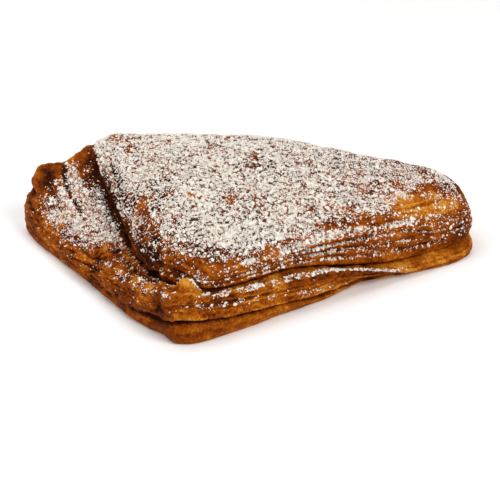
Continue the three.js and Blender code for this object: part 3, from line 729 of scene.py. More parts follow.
class SugarSettings(bpy.types.PropertyGroup):
    """Sizes, amounts and colour of the icing sugar."""

    powder_size: FloatProperty(name="Powder size", description="Width of the finest grains",
                               default=0.44 * MM, unit="LENGTH")
    grain_size: FloatProperty(name="Grain size", description="Width of the common grains",
                              default=0.64 * MM, unit="LENGTH")
    clump_size: FloatProperty(name="Clump size", description="Width of the stuck clumps",
                              default=1.0 * MM, unit="LENGTH")
    powder_count: IntProperty(name="Powder count", description="Number of the finest grains", default=33500)
    grain_count: IntProperty(name="Grain count", description="Number of common grains", default=19500)
    clump_count: IntProperty(name="Clump count", description="Number of clumps", default=4200)
    colour: FloatVectorProperty(name="Sugar", description="Colour of the icing sugar", size=3,
                                subtype="COLOR", default=hex_colour("E9E2D8"))
    seed: IntProperty(name="Seed", description="Seed of the scatter", default=7)


class StageSettings(bpy.types.PropertyGroup):
    """Camera, floor and light."""

    elevation: FloatProperty(name="Elevation", description="Angle of the camera above the floor",
                             default=math.radians(27), subtype="ANGLE")
    distance: FloatProperty(name="Distance", description="Distance of the camera from its target",
                            default=603 * MM, unit="LENGTH")
    lens: FloatProperty(name="Lens", description="Focal length in millimetres", default=129.6)
    floor: FloatVectorProperty(name="Floor", description="Colour of the floor", size=3,
                               subtype="COLOR", default=hex_colour("FBFAF9"))
    key_power: FloatProperty(name="Key", description="Power of the key light", default=6.2, unit="POWER")
    top_power: FloatProperty(name="Top", description="Power of the light overhead", default=4.6,
                             unit="POWER")
    fill_power: FloatProperty(name="Fill", description="Power of the light from the left", default=2.0,
                              unit="POWER")
    sky: FloatProperty(name="Sky", description="Strength of the even light all round", default=0.42)


def mix(start, end, share):
    """Value part of the way from start to end."""
    return start + (end - start) * share


def rise(value, low, high):
    """Smooth step from 0 at low to 1 at high."""
    share = np.clip((value - low) / (high - low), 0, 1)
    return share * share * (3 - 2 * share)


def eased(value, table):
    """What a table gives for a value, with a smooth step from each entry to the next."""
    result = table[0][1]
    for (low, start), (high, end) in zip(table, table[1:]):
        result = result + (end - start) * rise(value, low, high)
    return result


def straight(value, table):
    """What a table gives for a value, in straight lines from each entry to the next."""
    return np.interp(value, *np.array(table).T)


def bell(value, width):
    """Share from 1 at zero to 0 well past a width on either side."""
    return np.exp(-(value / width) ** 2)


def spread(x, y, spot, radius):
    """Share from 1 at a spot to 0 well outside its radius."""
    return np.exp(-((x - spot[0]) ** 2 + (y - spot[1]) ** 2) / radius ** 2)


def ramp(value):
    """Smooth ramp: zero well below the start and a straight line well above it."""
    return SLOPE_BLEND * np.log1p(np.exp(value / SLOPE_BLEND))


def chance(column, row):
    """Repeatable value between 0 and 1 for a lattice point."""
    value = np.sin(column * CHANCE_ACROSS + row * CHANCE_UP) * CHANCE_SPREAD
    return value - np.floor(value)


def unevenness(x, y):
    """Smooth unevenness between -1 and 1 with one swell per unit."""
    column = np.floor(x)
    row = np.floor(y)
    ease_across = rise(x - column, 0, 1)
    ease_up = rise(y - row, 0, 1)
    low = mix(chance(column, row), chance(column + 1, row), ease_across)
    high = mix(chance(column, row + 1), chance(column + 1, row + 1), ease_across)
    return 2 * mix(low, high, ease_up) - 1


def uneven(pattern, across, up, height=0):
    """Sum of a pattern's swells, coarse and fine, at places across and up and at a height."""
    total = 0
    for swells in pattern:
        column = across / swells.across + height / swells.slide[0] + swells.start[0]
        row = up / swells.up + height / swells.slide[1] + swells.start[1]
        total = total + swells.strength * unevenness(column, row)
    return total


def reach(bearing, sides, corners):
    """Distance from the middle to a leaf's edge: straight sides met by rounded corners."""
    total = 0
    for normal, distance in sides:
        facing = np.maximum(np.cos(bearing - math.radians(normal)), 0)
        total = total + (facing / distance) ** corners
    return total ** (-1 / corners)


def tangents(gaps, slopes):
    """Slopes of a smooth curve without overshoot at the inner entries of a table."""
    before = slopes[:-1]
    after = slopes[1:]
    weight_before = 2 * gaps[1:] + gaps[:-1]
    weight_after = gaps[1:] + 2 * gaps[:-1]
    same_way = before * after > 0
    safe_before = np.where(same_way, before, 1)
    safe_after = np.where(same_way, after, 1)
    curve = (weight_before + weight_after) / (weight_before / safe_before + weight_after / safe_after)
    return np.where(same_way, curve, 0)


def hermite(t, gap, low, high, slope_low, slope_high):
    """Point on the smooth curve between two entries."""
    rest = 1 - t
    return ((1 + 2 * t) * rest * rest * low + t * rest * rest * gap * slope_low
            + t * t * (3 - 2 * t) * high - t * t * rest * gap * slope_high)


def along(table, place, length):
    """Value of a table at places along the closed rim."""
    entries = np.array(table, dtype=float)
    stations = np.concatenate([entries[:, 0] + turn * length for turn in (-1, 0, 1)])
    values = np.tile(entries[:, 1], 3)
    gaps = np.diff(stations)
    slopes = np.diff(values) / gaps
    bends = np.concatenate([[0], tangents(gaps, slopes), [0]])
    index = np.searchsorted(stations, place, side="right") - 1
    t = (place - stations[index]) / gaps[index]
    return hermite(t, gaps[index], values[index], values[index + 1], bends[index], bends[index + 1])


def walk_rim(count):
    """Bearings and places of stations shared out along the lower leaf's rim, and the rim's length."""
    turn = np.linspace(0, 2 * math.pi, RIM_SAMPLES + 1)
    edge = reach(turn, LOWER_LEAF, LOWER_CORNERS)
    bearing = turn[np.argmin(edge[:-1] * np.sin(turn[:-1]))] + turn
    edge = reach(bearing, LOWER_LEAF, LOWER_CORNERS)
    steps = np.hypot(np.diff(edge * np.cos(bearing)), np.diff(edge * np.sin(bearing)))
    place = np.concatenate([[0], np.cumsum(steps)])
    length = place[-1]
    weights = np.concatenate([[0], steps]) * along(STATION_SHARE, place, length)
    share = np.cumsum(weights)
    wanted = share[-1] * np.arange(count) / count
    return np.interp(wanted, share, bearing), np.interp(wanted, share, place), length


def inwards(x, y, side):
    """Distance inwards from one side of the upper leaf."""
    normal, distance = UPPER_LEAF[side]
    bearing = math.radians(normal)
    return distance - (x - MIDDLE[0]) * math.cos(bearing) - (y - MIDDLE[1]) * math.sin(bearing)


def top_height(x, y):
    """Height of the upper leaf's top: a ridge near the fold that falls to the open edges."""
    right = RIGHT_SLOPE * ramp(x - RIGHT_SLOPE_FROM)
    left = LEFT_SLOPE * ramp(LEFT_SLOPE_FROM - x)
    back = RIDGE_ROUND * np.maximum(y - RIDGE_Y, 0) ** 2
    ridge = RIDGE_HEIGHT - right - left - back
    front_fall = np.clip(1 - inwards(x, y, FRONT) / FRONT_REACH, 0, FALL_LIMIT) ** 2
    left_share = LEFT_SHARE * np.clip((LEFT_FADE_Y - y) / LEFT_FADE, 0, 1)
    left_fall = left_share * np.clip(1 - inwards(x, y, LEFT_SIDE) / LEFT_REACH, 0, FALL_LIMIT) ** 2
    fall = (front_fall ** FALL_BLEND + left_fall ** FALL_BLEND) ** (1 / FALL_BLEND)
    blister = BLISTER_HEIGHT * unevenness(x / BLISTER_WIDTH, y / BLISTER_WIDTH)
    knob = TOP_KNOB_HEIGHT * spread(x, y, TOP_KNOB, TOP_KNOB_RADIUS)
    return ridge - (ridge - EDGE_HEIGHT) * np.minimum(fall, FALL_LIMIT) + blister + knob


def rings_between(values):
    """Rings on smooth curves through the levels' distances or heights."""
    slopes = np.diff(values, axis=0)
    inner = tangents(np.ones((len(slopes), 1)), slopes)
    bends = np.concatenate([slopes[:1], inner, slopes[-1:]])
    rings = []
    for index, count in enumerate(RINGS_BETWEEN):
        ends = (*values[index:index + 2], *bends[index:index + 2])
        rings += [hermite(step / count, 1, *ends) for step in range(count)]
    return np.array(rings)


class Skin:
    """The turnover's skin as rings of stations, and what its relief and colours are worked out from."""

    def __init__(self, count):
        self.bearing, self.place, self.length = walk_rim(count)
        self.lower = reach(self.bearing, LOWER_LEAF, LOWER_CORNERS)
        upper = reach(self.bearing, UPPER_LEAF, UPPER_CORNERS)
        self.upper = np.minimum(upper, self.lower + UPPER_PAST_LOWER)
        self.rim_x, self.rim_y = self.plan(self.lower)
        self.open = self.at(SEAM_OPEN)

    def at(self, table):
        """A table's value at every station."""
        return along(table, self.place, self.length)

    def plan(self, distance):
        """Plan position at a distance from the middle."""
        x = MIDDLE[0] + distance * np.cos(self.bearing)
        y = MIDDLE[1] + distance * np.sin(self.bearing)
        return x, y

    def rough(self, width, start, start_across=0):
        """Unevenness along the rim, with swells of a width."""
        return unevenness(self.rim_x / width + start_across, self.rim_y / width + start)

    def lumps(self, distance):
        """Height of the knob and the bulge on the left shelf."""
        x, y = self.plan(distance)
        knob = KNOB_HEIGHT * spread(x, y, KNOB, KNOB_RADIUS)
        return (knob + BULGE_HEIGHT * spread(x, y, BULGE, BULGE_RADIUS)) * self.open

    def base_levels(self):
        """Levels of the sole, the base's face and the crevice under the lip."""
        groove = self.at(GROOVE_HEIGHT)
        tuck = self.at(BASE_TUCK)
        found = [(self.lower / 2, 0 * self.lower)]
        for share, inset, tuck_share in BASE_FACE:
            found.append((self.lower - inset - tuck_share * tuck, share * groove))
        inset = GROOVE_INSET + GROOVE_DEPTH * self.at(GROOVE_OPEN) + GROOVE_TUCK * tuck
        found.append((self.lower - inset, groove))
        return found

    def lip_levels(self):
        """Levels of the lip, from its ragged lower edge to its top."""
        groove = self.at(GROOVE_HEIGHT)
        tuck = self.at(BASE_TUCK)
        lip = self.at(LIP_HEIGHT)
        ledge = self.at(LEDGE_DEPTH)
        lean = self.at(END_LEAN)
        rounding = self.at(RIM_ROUND)
        ragged = LIP_EDGE_RAGGED * self.rough(*LIP_EDGE_SWELLS) * self.at(GROOVE_OPEN)
        wave = LIP_WAVE * self.rough(*LIP_WAVE_SWELLS)
        valley = VALLEY_DEPTH * bell(self.place - VALLEY, VALLEY_WIDTH)
        found = [(self.lower + ragged - LIP_EDGE_TUCK * tuck, groove + LIP_EDGE_RISE + ragged)]
        for share, inset, ledge_share, lean_share, tuck_share, round_inset in LIP_FACE:
            set_back = inset + ledge_share * ledge + lean_share * lean
            set_back = set_back + tuck_share * tuck + round_inset * rounding
            distance = self.lower + wave * (1 - share) - valley - set_back
            lifted = self.lumps(distance) * rise(share, *LUMP_FROM)
            found.append((distance, mix(groove, lip, share) + lifted))
        set_back = LIP_TOP_INSET * self.open + LIP_TOP_LEDGE * ledge + lean + LIP_TOP_ROUND * rounding
        distance = self.lower - set_back - valley
        found.append((distance, lip + self.lumps(distance)))
        return found

    def shelf_levels(self, lip_distance):
        """Levels of the shelf behind the lip, and of the seam between the leaves."""
        lip = self.at(LIP_HEIGHT)
        seam = np.maximum(self.at(SEAM_HEIGHT), lip + SEAM_RISE - SEAM_HOLLOW * self.open)
        seam_distance = mix(lip_distance, self.upper - self.at(SEAM_DEPTH), self.open)
        seam_distance = np.minimum(seam_distance, lip_distance - SEAM_LEAST * self.open)
        found = []
        for ring in range(1, SHELF_RINGS + 1):
            share = ring / (SHELF_RINGS + 1)
            distance = mix(lip_distance, seam_distance, share)
            x, y = self.plan(distance)
            fade = np.clip((y - FLAKE_FROM_Y) / FLAKE_FADE, 0, 1) * self.open
            flake = FLAKE_RISE * bell(x - FLAKE_X, FLAKE_WIDTH) * fade * math.sin(math.pi * share)
            raised = flake + self.lumps(distance) * (1 - share)
            found.append((distance, mix(lip, seam, share ** self.at(SHELF_BOW)) + raised))
        found.append((seam_distance, seam))
        return found

    def leaf_levels(self, lip_distance, seam):
        """Levels of the upper leaf: its edge, its layers with the cracks between them, and its roll."""
        rolled = [self.rolled(inset) for inset in ROLL_INSETS]
        rim = rolled[0]
        leaf_edge = seam + np.minimum(self.at(LEAF_EDGE_RISE), LEAF_EDGE_SHARE * (rim - seam))
        ragged = LEAF_EDGE_RAGGED * self.rough(*LEAF_EDGE_SWELLS)
        found = [(mix(lip_distance, self.upper - LEAF_EDGE_INSET + ragged, self.open), leaf_edge)]
        for layer in range(LAYERS):
            ragged = LAYER_RAGGED * self.rough(*LAYER_SWELLS[layer]) * self.open
            layer_height = mix(leaf_edge, rim, LAYER_FIRST + LAYER_GAP * layer)
            found.append((self.upper + LAYER_OUT + ragged - LAYER_BACK * layer, layer_height))
            gape = np.clip(CRACK_MEAN + CRACK_SPREAD * self.rough(*CRACK_SWELLS[layer]), 0, 1)
            crack = CRACK_INSET + CRACK_BACK * layer + CRACK_DEPTH * gape * self.open * self.at(SHEET_SHOW)
            found.append((self.upper - crack, mix(leaf_edge, rim, CRACK_FIRST + CRACK_GAP * layer)))
        for inset, height in zip(ROLL_INSETS, rolled):
            found.append((self.upper - inset, height))
        return found

    def rolled(self, inset):
        """Height of the rolled rim at a distance in from the upper leaf's edge."""
        drop = self.at(ROLL_DROP) * np.clip(1 - inset / self.at(ROLL_WIDTH), 0, 1) ** 2
        return top_height(*self.plan(self.upper - inset)) - drop

    def levels(self):
        """Distance and height of the levels from the middle of the sole to the inner end of the roll."""
        found = self.base_levels() + self.lip_levels()
        lip_distance = found[LIP_TOP][0]
        found += self.shelf_levels(lip_distance)
        found += self.leaf_levels(lip_distance, found[SEAM][1])
        distances, heights = zip(*found)
        return np.array(distances), np.array(heights)

    def draw(self):
        """Fill in the rings between the levels and over the crown."""
        distances, heights = self.levels()
        steps = np.arange(CROWN_RINGS) / CROWN_RINGS
        crown = distances[-1] * (1 - steps[:, None])
        self.distance = np.concatenate([rings_between(distances), crown])
        levels = [index + step / count
                  for index, count in enumerate(RINGS_BETWEEN) for step in range(count)]
        self.level = np.concatenate([levels, CROWN + steps])[:, None] + 0 * self.distance
        x, y = self.plan(self.distance)
        z = np.concatenate([rings_between(heights), top_height(*self.plan(crown))])
        self.points = np.stack([x, y, z], axis=-1)

    def normals(self):
        """Outward normals of the rings' points."""
        around = np.roll(self.points, -1, axis=1) - np.roll(self.points, 1, axis=1)
        climbing = np.gradient(self.points, axis=0)
        normal = np.cross(around, climbing)
        return normal / np.maximum(np.linalg.norm(normal, axis=-1, keepdims=True), SMALLEST)

    def within(self, low, high, soft=LEVEL_SOFT):
        """Share from 0 to 1 by which a point lies between two levels."""
        above_low = rise(self.level, low - soft / 2, low + soft / 2)
        above_high = rise(self.level, high - soft / 2, high + soft / 2)
        return above_low * (1 - above_high)

    def bands(self, rows):
        """Sum of bands, each an amount, its levels and the tables that multiply it around the rim."""
        total = 0
        for amount, levels, *tables in rows:
            band = amount * self.within(*levels)
            for table in tables:
                band = band * self.at(table)
            total = total + band
        return total

    def sheets(self, low, high, count, start):
        """Sheets of dough at an open edge: how far each stands out, and the cracks between them."""
        share = np.clip((self.level - low) / (high - low), 0, 1)
        wander = SHEET_WAVE * self.rough(SHEET_WAVE_WIDTH, start)
        wander = wander + SHEET_WANDER * self.rough(SHEET_WIDTH, SHEET_WANDER_SWELLS * share)
        sheet = share * count + wander
        number = np.floor(sheet)
        stand = self.rough(SHEET_WIDTH, start, SHEET_STARTS_APART * number)
        stand_next = self.rough(SHEET_WIDTH, start, SHEET_STARTS_APART * (number + 1))
        out = mix(stand, stand_next, rise(sheet - number, *SHEET_LAP))
        edge = np.round(sheet)
        gape = rise(self.rough(SPLIT_WIDTH, start, SPLIT_STARTS_APART * edge), *SPLIT_GAPE)
        crack = bell(sheet - edge, SPLIT_OPENING) * gape
        inside = self.within(low, high) * self.open
        return out * inside, crack * inside

    def hollows(self, reach_rings):
        """Depth of each point below its neighbours on the rings beside it, in millimetres."""
        above = np.roll(self.points, -reach_rings, axis=0)
        below = np.roll(self.points, reach_rings, axis=0)
        above[-reach_rings:] = self.points[-reach_rings:]
        below[:reach_rings] = self.points[:reach_rings]
        return np.sum(((above + below) / 2 - self.points) * self.normals(), axis=-1)


def solid_middle():
    """Middle of the solid's box in plan, in the drawing's own frame."""
    solid = Skin(SOLID_STATIONS)
    distances, heights = solid.levels()
    x, y = solid.plan(distances)
    return (x.min() + x.max()) / 2, (y.min() + y.max()) / 2


def line_side(x, y, line, fade_in, fade_out):
    """Distance to the right of a line over the crust, and how far the line shows at that depth."""
    start = line[0][0]
    end = line[-1][0]
    shown = rise(y, start + fade_in[0], start + fade_in[1])
    shown = shown * (1 - rise(y, end + fade_out[0], end + fade_out[1]))
    return x - straight(y, line), shown


def crevice_side(x, y):
    """Distance to the right of the crevice on the left shelf, and how far it shows."""
    return line_side(x, y, CREVICE, CREVICE_FADE_IN, CREVICE_FADE_OUT)


def crease_side(x, y):
    """Distance to the right of the crease along the top's left edge, and how far it shows."""
    return line_side(x, y, CREASE, CREASE_FADE_IN, CREASE_FADE_OUT)


def fold_line(skin):
    """Share from 0 to 1 of the crease along the left lip, at each point."""
    ragged = FOLD_LINE_RAGGED * skin.rough(*FOLD_LINE_SWELLS)
    off = skin.level - straight(skin.place, FOLD_LINE) - ragged
    return bell(off, FOLD_LINE_WIDTH) * skin.at(FOLD_LINE_SHOW)


def notch(skin):
    """Share from 0 to 1 of the notch under the knob, at each point."""
    beside = bell(skin.place - NOTCH[0], NOTCH_SIZE[0])
    above = bell(skin.points[..., 2] - NOTCH[1], NOTCH_SIZE[1])
    return beside * above * skin.within(*NOTCH_LEVELS)


def sheet_relief(skin, depth):
    """Relief of the sheets at the open edges, and the cracks in the upper leaf and in the lip."""
    leaf_out, leaf_crack = skin.sheets(*LEAF_SHEETS)
    lip_out, lip_crack = skin.sheets(*LIP_SHEETS)
    on_leaf = skin.at(SHEET_SHOW)
    on_lip = skin.at(OFF_WING) * skin.at(OFF_NOSE)
    leaf = on_leaf * (LEAF_SHEET_OUT * leaf_out - LEAF_SPLIT_DEPTH * leaf_crack)
    lip = on_lip * (LIP_SHEET_OUT * lip_out - LIP_SPLIT_DEPTH * lip_crack)
    return depth * (leaf + lip), on_leaf * leaf_crack, on_lip * lip_crack


def flakes(across, up):
    """Plates of flaky crust: the height of each from -1 to 1, and the edges where a plate ends, for painted
    shade.
    """
    plate = uneven(PLATES, across, up) * PLATE_STEPS
    number = np.floor(plate)
    part = plate - number
    height = (number + rise(part, *PLATE_LAP)) / PLATE_STEPS
    return height, bell(part - PLATE_LAP[0], PLATE_EDGE)


def plate_relief(skin, rugged):
    """Relief of the flaky plates and of the folded back's low swells, and the plates' edges for painted
    shade.
    """
    x, y, z = np.moveaxis(skin.points, -1, 0)
    back = (1 - skin.open) * skin.within(*BACK_LEVELS)
    flaky = skin.within(*FLAKY_LEVELS) * (1 - FLAKY_LESS_ON_NOSE * skin.at(NOSE)) * skin.open
    flaky = flaky * mix(FLAKY_PLAIN, 1, np.maximum(skin.at(WING), rugged))
    flaky = flaky * mix(FLAKY_BASE, 1, rise(skin.level, GROOVE, LIP_EDGE)) + FLAKY_BACK * back
    plates, plate_edge = flakes(skin.place, z + PLATE_LEAN * (x + y))
    relief = flaky * (PLATE_RISE * plates - PLATE_EDGE_DEPTH * plate_edge)
    return relief + back * uneven(BACK_SWELLS, skin.place, z, z), flaky * plate_edge


def lift(skin):
    """How far the crevice, the crease, the near blister and the crumbs in the gap lift the skin."""
    x, y, z = np.moveaxis(skin.points, -1, 0)
    side, shown = crevice_side(x, y)
    bank = CREVICE_BANK_HEIGHT * bell(side - CREVICE_BANK_AT, CREVICE_BANK_WIDTH)
    cut = CREVICE_DEPTH * bell(side - CREVICE_AT, CREVICE_WIDTH)
    lifted = shown * skin.within(*CREVICE_LEVELS) * (bank - cut)
    crease, creased = crease_side(x, y)
    lifted -= CREASE_DEPTH * creased * bell(crease, CREASE_WIDTH) * rise(skin.level, *CREASE_LEVELS)
    dome = np.clip(NEAR_BLISTER_FLAT * spread(x, y, NEAR_BLISTER, NEAR_BLISTER_RADIUS), 0, 1)
    blister = np.sin(math.pi / 2 * dome) * skin.within(*NEAR_BLISTER_LEVELS)
    lifted += NEAR_BLISTER_HEIGHT * blister
    crumbs = GAP_CRUMB_MEAN + uneven(GAP_CRUMBS, x, y)
    return lifted + skin.at(GAP_FILL) * crumbs * skin.within(*GAP_LEVELS)


def add_relief(skin, settings):
    """Raise sheets, cracks, blisters and lumps on the skin, and keep the cracks for their painted shade."""
    x, y, z = np.moveaxis(skin.points, -1, 0)
    relief, leaf_crack, lip_crack = sheet_relief(skin, settings.sheet_depth / MM)
    blisters = settings.blister_height / MM * uneven(TOP_BLISTERS, x, y)
    relief += blisters * rise(skin.level, *TOP_BLISTER_LEVELS)
    relief += uneven(SHELF_BUMPS, x, y) * skin.within(*SHELF_BUMP_LEVELS) * skin.open

    crags = uneven(CRAGS, x, y, z)
    near_lumps = NEAR_LUMPS_SHARE * spread(x, y, NEAR_LUMPS, NEAR_LUMPS_RADIUS)
    rugged = np.maximum(spread(x, y, CORNER, CORNER_RADIUS), near_lumps)
    relief += CORNER_CRAG_HEIGHT * crags * rugged * rise(skin.level, *CORNER_CRAG_LEVELS)
    relief += EDGE_CRAG_HEIGHT * crags * skin.within(*EDGE_CRAG_LEVELS) * skin.at(EDGE_CRAGS)
    wing_crags = uneven(WING_CRAGS, skin.rim_x, skin.rim_y, z)
    relief += skin.at(WING) ** 2 * wing_crags * skin.within(*WING_CRAG_LEVELS)

    plates, plate_edge = plate_relief(skin, rugged)
    folded = fold_line(skin)
    relief += plates - FOLD_LINE_DEPTH * folded - NOTCH_DEPTH * notch(skin)
    relief += uneven(PITS, skin.rim_x, skin.rim_y, z) * skin.within(*PIT_LEVELS)
    relief += uneven(GRIT, skin.rim_x, skin.rim_y, z) * skin.within(*GRIT_LEVELS)

    lifted = lift(skin)
    skin.points = skin.points + relief[..., None] * skin.normals()
    skin.points[..., 2] += lifted
    # Cracks, split edges, plate edges and the fold line: their shares are kept for painted shade.
    cracks = [leaf_crack, LIP_SPLIT_SHADE * lip_crack, PLATE_EDGE_SHADE * plate_edge, folded]
    skin.crack = np.maximum.reduce(cracks)


def spotted(x, y, spots):
    """Sum of the shares of some spots."""
    return sum(spread(x, y, (spot_x, spot_y), radius) for spot_x, spot_y, radius in spots)


def burnt_knob(x, y, radius):
    """Share from 0 to 1 of the burnt knob, full well inside its radius."""
    return np.clip(KNOB_FULL * spread(x, y, KNOB, radius), 0, 1)


def browned_top(skin, x, y):
    """What the top adds to the browning: its spots and the streaks along the nose, and painted shade in the
    crease.
    """
    bare = TOP_BROWN - BARE_SPOT_PALE * spotted(x, y, BARE_SPOTS)
    top = bare * skin.at(OFF_NOSE) + DARK_SPOT_BROWN * spotted(x, y, DARK_SPOTS)
    added = top * rise(skin.level, *TOP_LEVELS)
    added -= GOLDEN_SPOT_PALE * spotted(x, y, GOLDEN_SPOTS) * rise(skin.level, *GOLDEN_LEVELS)
    streaks = uneven(NOSE_STREAKS, skin.upper - skin.distance, skin.place)
    added += streaks * skin.at(NOSE) * rise(skin.level, *STREAK_LEVELS)
    crease, creased = crease_side(x, y)
    # Painted shade in the crease.
    added += CREASE_SHADE * creased * bell(crease, CREASE_SHADE_WIDTH) * rise(skin.level, *CREASE_LEVELS)
    return added


def browned_shelf(skin, x, y):
    """What the shelf adds to the browning: its far end and the bulge, with painted shadow beside the upper
    leaf and painted shade in the crevice.
    """
    added = eased(y, SHELF_BROWN) - BULGE_PALE * spread(x, y, BULGE, BULGE_RADIUS)
    # Painted shadow of the upper leaf on the shelf beside it.
    added += SHELF_INNER_SHADE * rise(x, *SHELF_INNER_X) * rise(y, *SHELF_INNER_Y)
    side, shown = crevice_side(x, y)
    # Painted shade in the crevice.
    added += CREVICE_SHADE * bell(side - CREVICE_SHADE_AT, CREVICE_SHADE_WIDTH) * shown
    return added * skin.within(*SHELF_LEVELS) * skin.open


def browned_edges(skin, x, y, z):
    """What the left strip, the knob, the near corner and the folded back add to the browning, with painted
    shade on the left strip and in the valley by the near corner.
    """
    # Browning and painted shade on the strip along the left edge.
    strip = eased(y, STRIP_BROWN_AND_SHADE) * (1 - rise(inwards(x, y, LEFT_SIDE), *STRIP_INSET))
    added = strip * skin.at(LEFT_ROLL) * rise(skin.level, *STRIP_LEVELS)
    added += KNOB_BROWN * burnt_knob(x, y, KNOB_BROWN_RADIUS) * skin.within(*KNOB_LEVELS)
    added += CORNER_BROWN * spread(x, y, CORNER, CORNER_RADIUS) * rise(skin.level, *CORNER_LEVELS)
    # Painted shade in the valley of the lip.
    added += VALLEY_SHADE * bell(skin.place - VALLEY, VALLEY_WIDTH) * skin.within(*VALLEY_LEVELS)
    blister = spread(x, y, NEAR_BLISTER, NEAR_BLISTER_RADIUS)
    added -= NEAR_BLISTER_PALE * blister * skin.within(*NEAR_BLISTER_PALE_LEVELS)
    return added + eased(z, BACK_BROWN) * (1 - skin.open) * skin.within(*BACK_BROWN_LEVELS)


def browning_and_shade(skin):
    """How dark the crust is at each point, from 0 to 1: its browning, with painted shade in cracks,
    hollows, crevices, creases and the seam, and painted light on ridges and under the lifted front.
    """
    x, y, z = np.moveaxis(skin.points, -1, 0)
    baked_and_shaded = CRUST_BROWN + skin.bands(BROWNED_AND_SHADED_BANDS)
    baked_and_shaded += rise(skin.place, *NEAR_LEFT) * skin.bands(NEAR_LEFT_BANDS)
    baked_and_shaded += browned_top(skin, x, y) + browned_shelf(skin, x, y) + browned_edges(skin, x, y, z)
    # Painted shade in the cracks.
    baked_and_shaded += CRACK_SHADE * skin.crack
    # Painted shade in hollows and painted light on ridges, by how deep a point lies below its neighbours.
    baked_and_shaded += HOLLOW_SHADE * np.clip(skin.hollows(HOLLOW_RINGS) / HOLLOW_DEPTH, -RIDGE_LIGHT_MOST, 1)
    baked_and_shaded += uneven(BROWN_PATCHES, x, y, z) + skin.at(WING) * uneven(WING_PATCHES, x, y, z)
    return np.clip(baked_and_shaded, 0, 1)


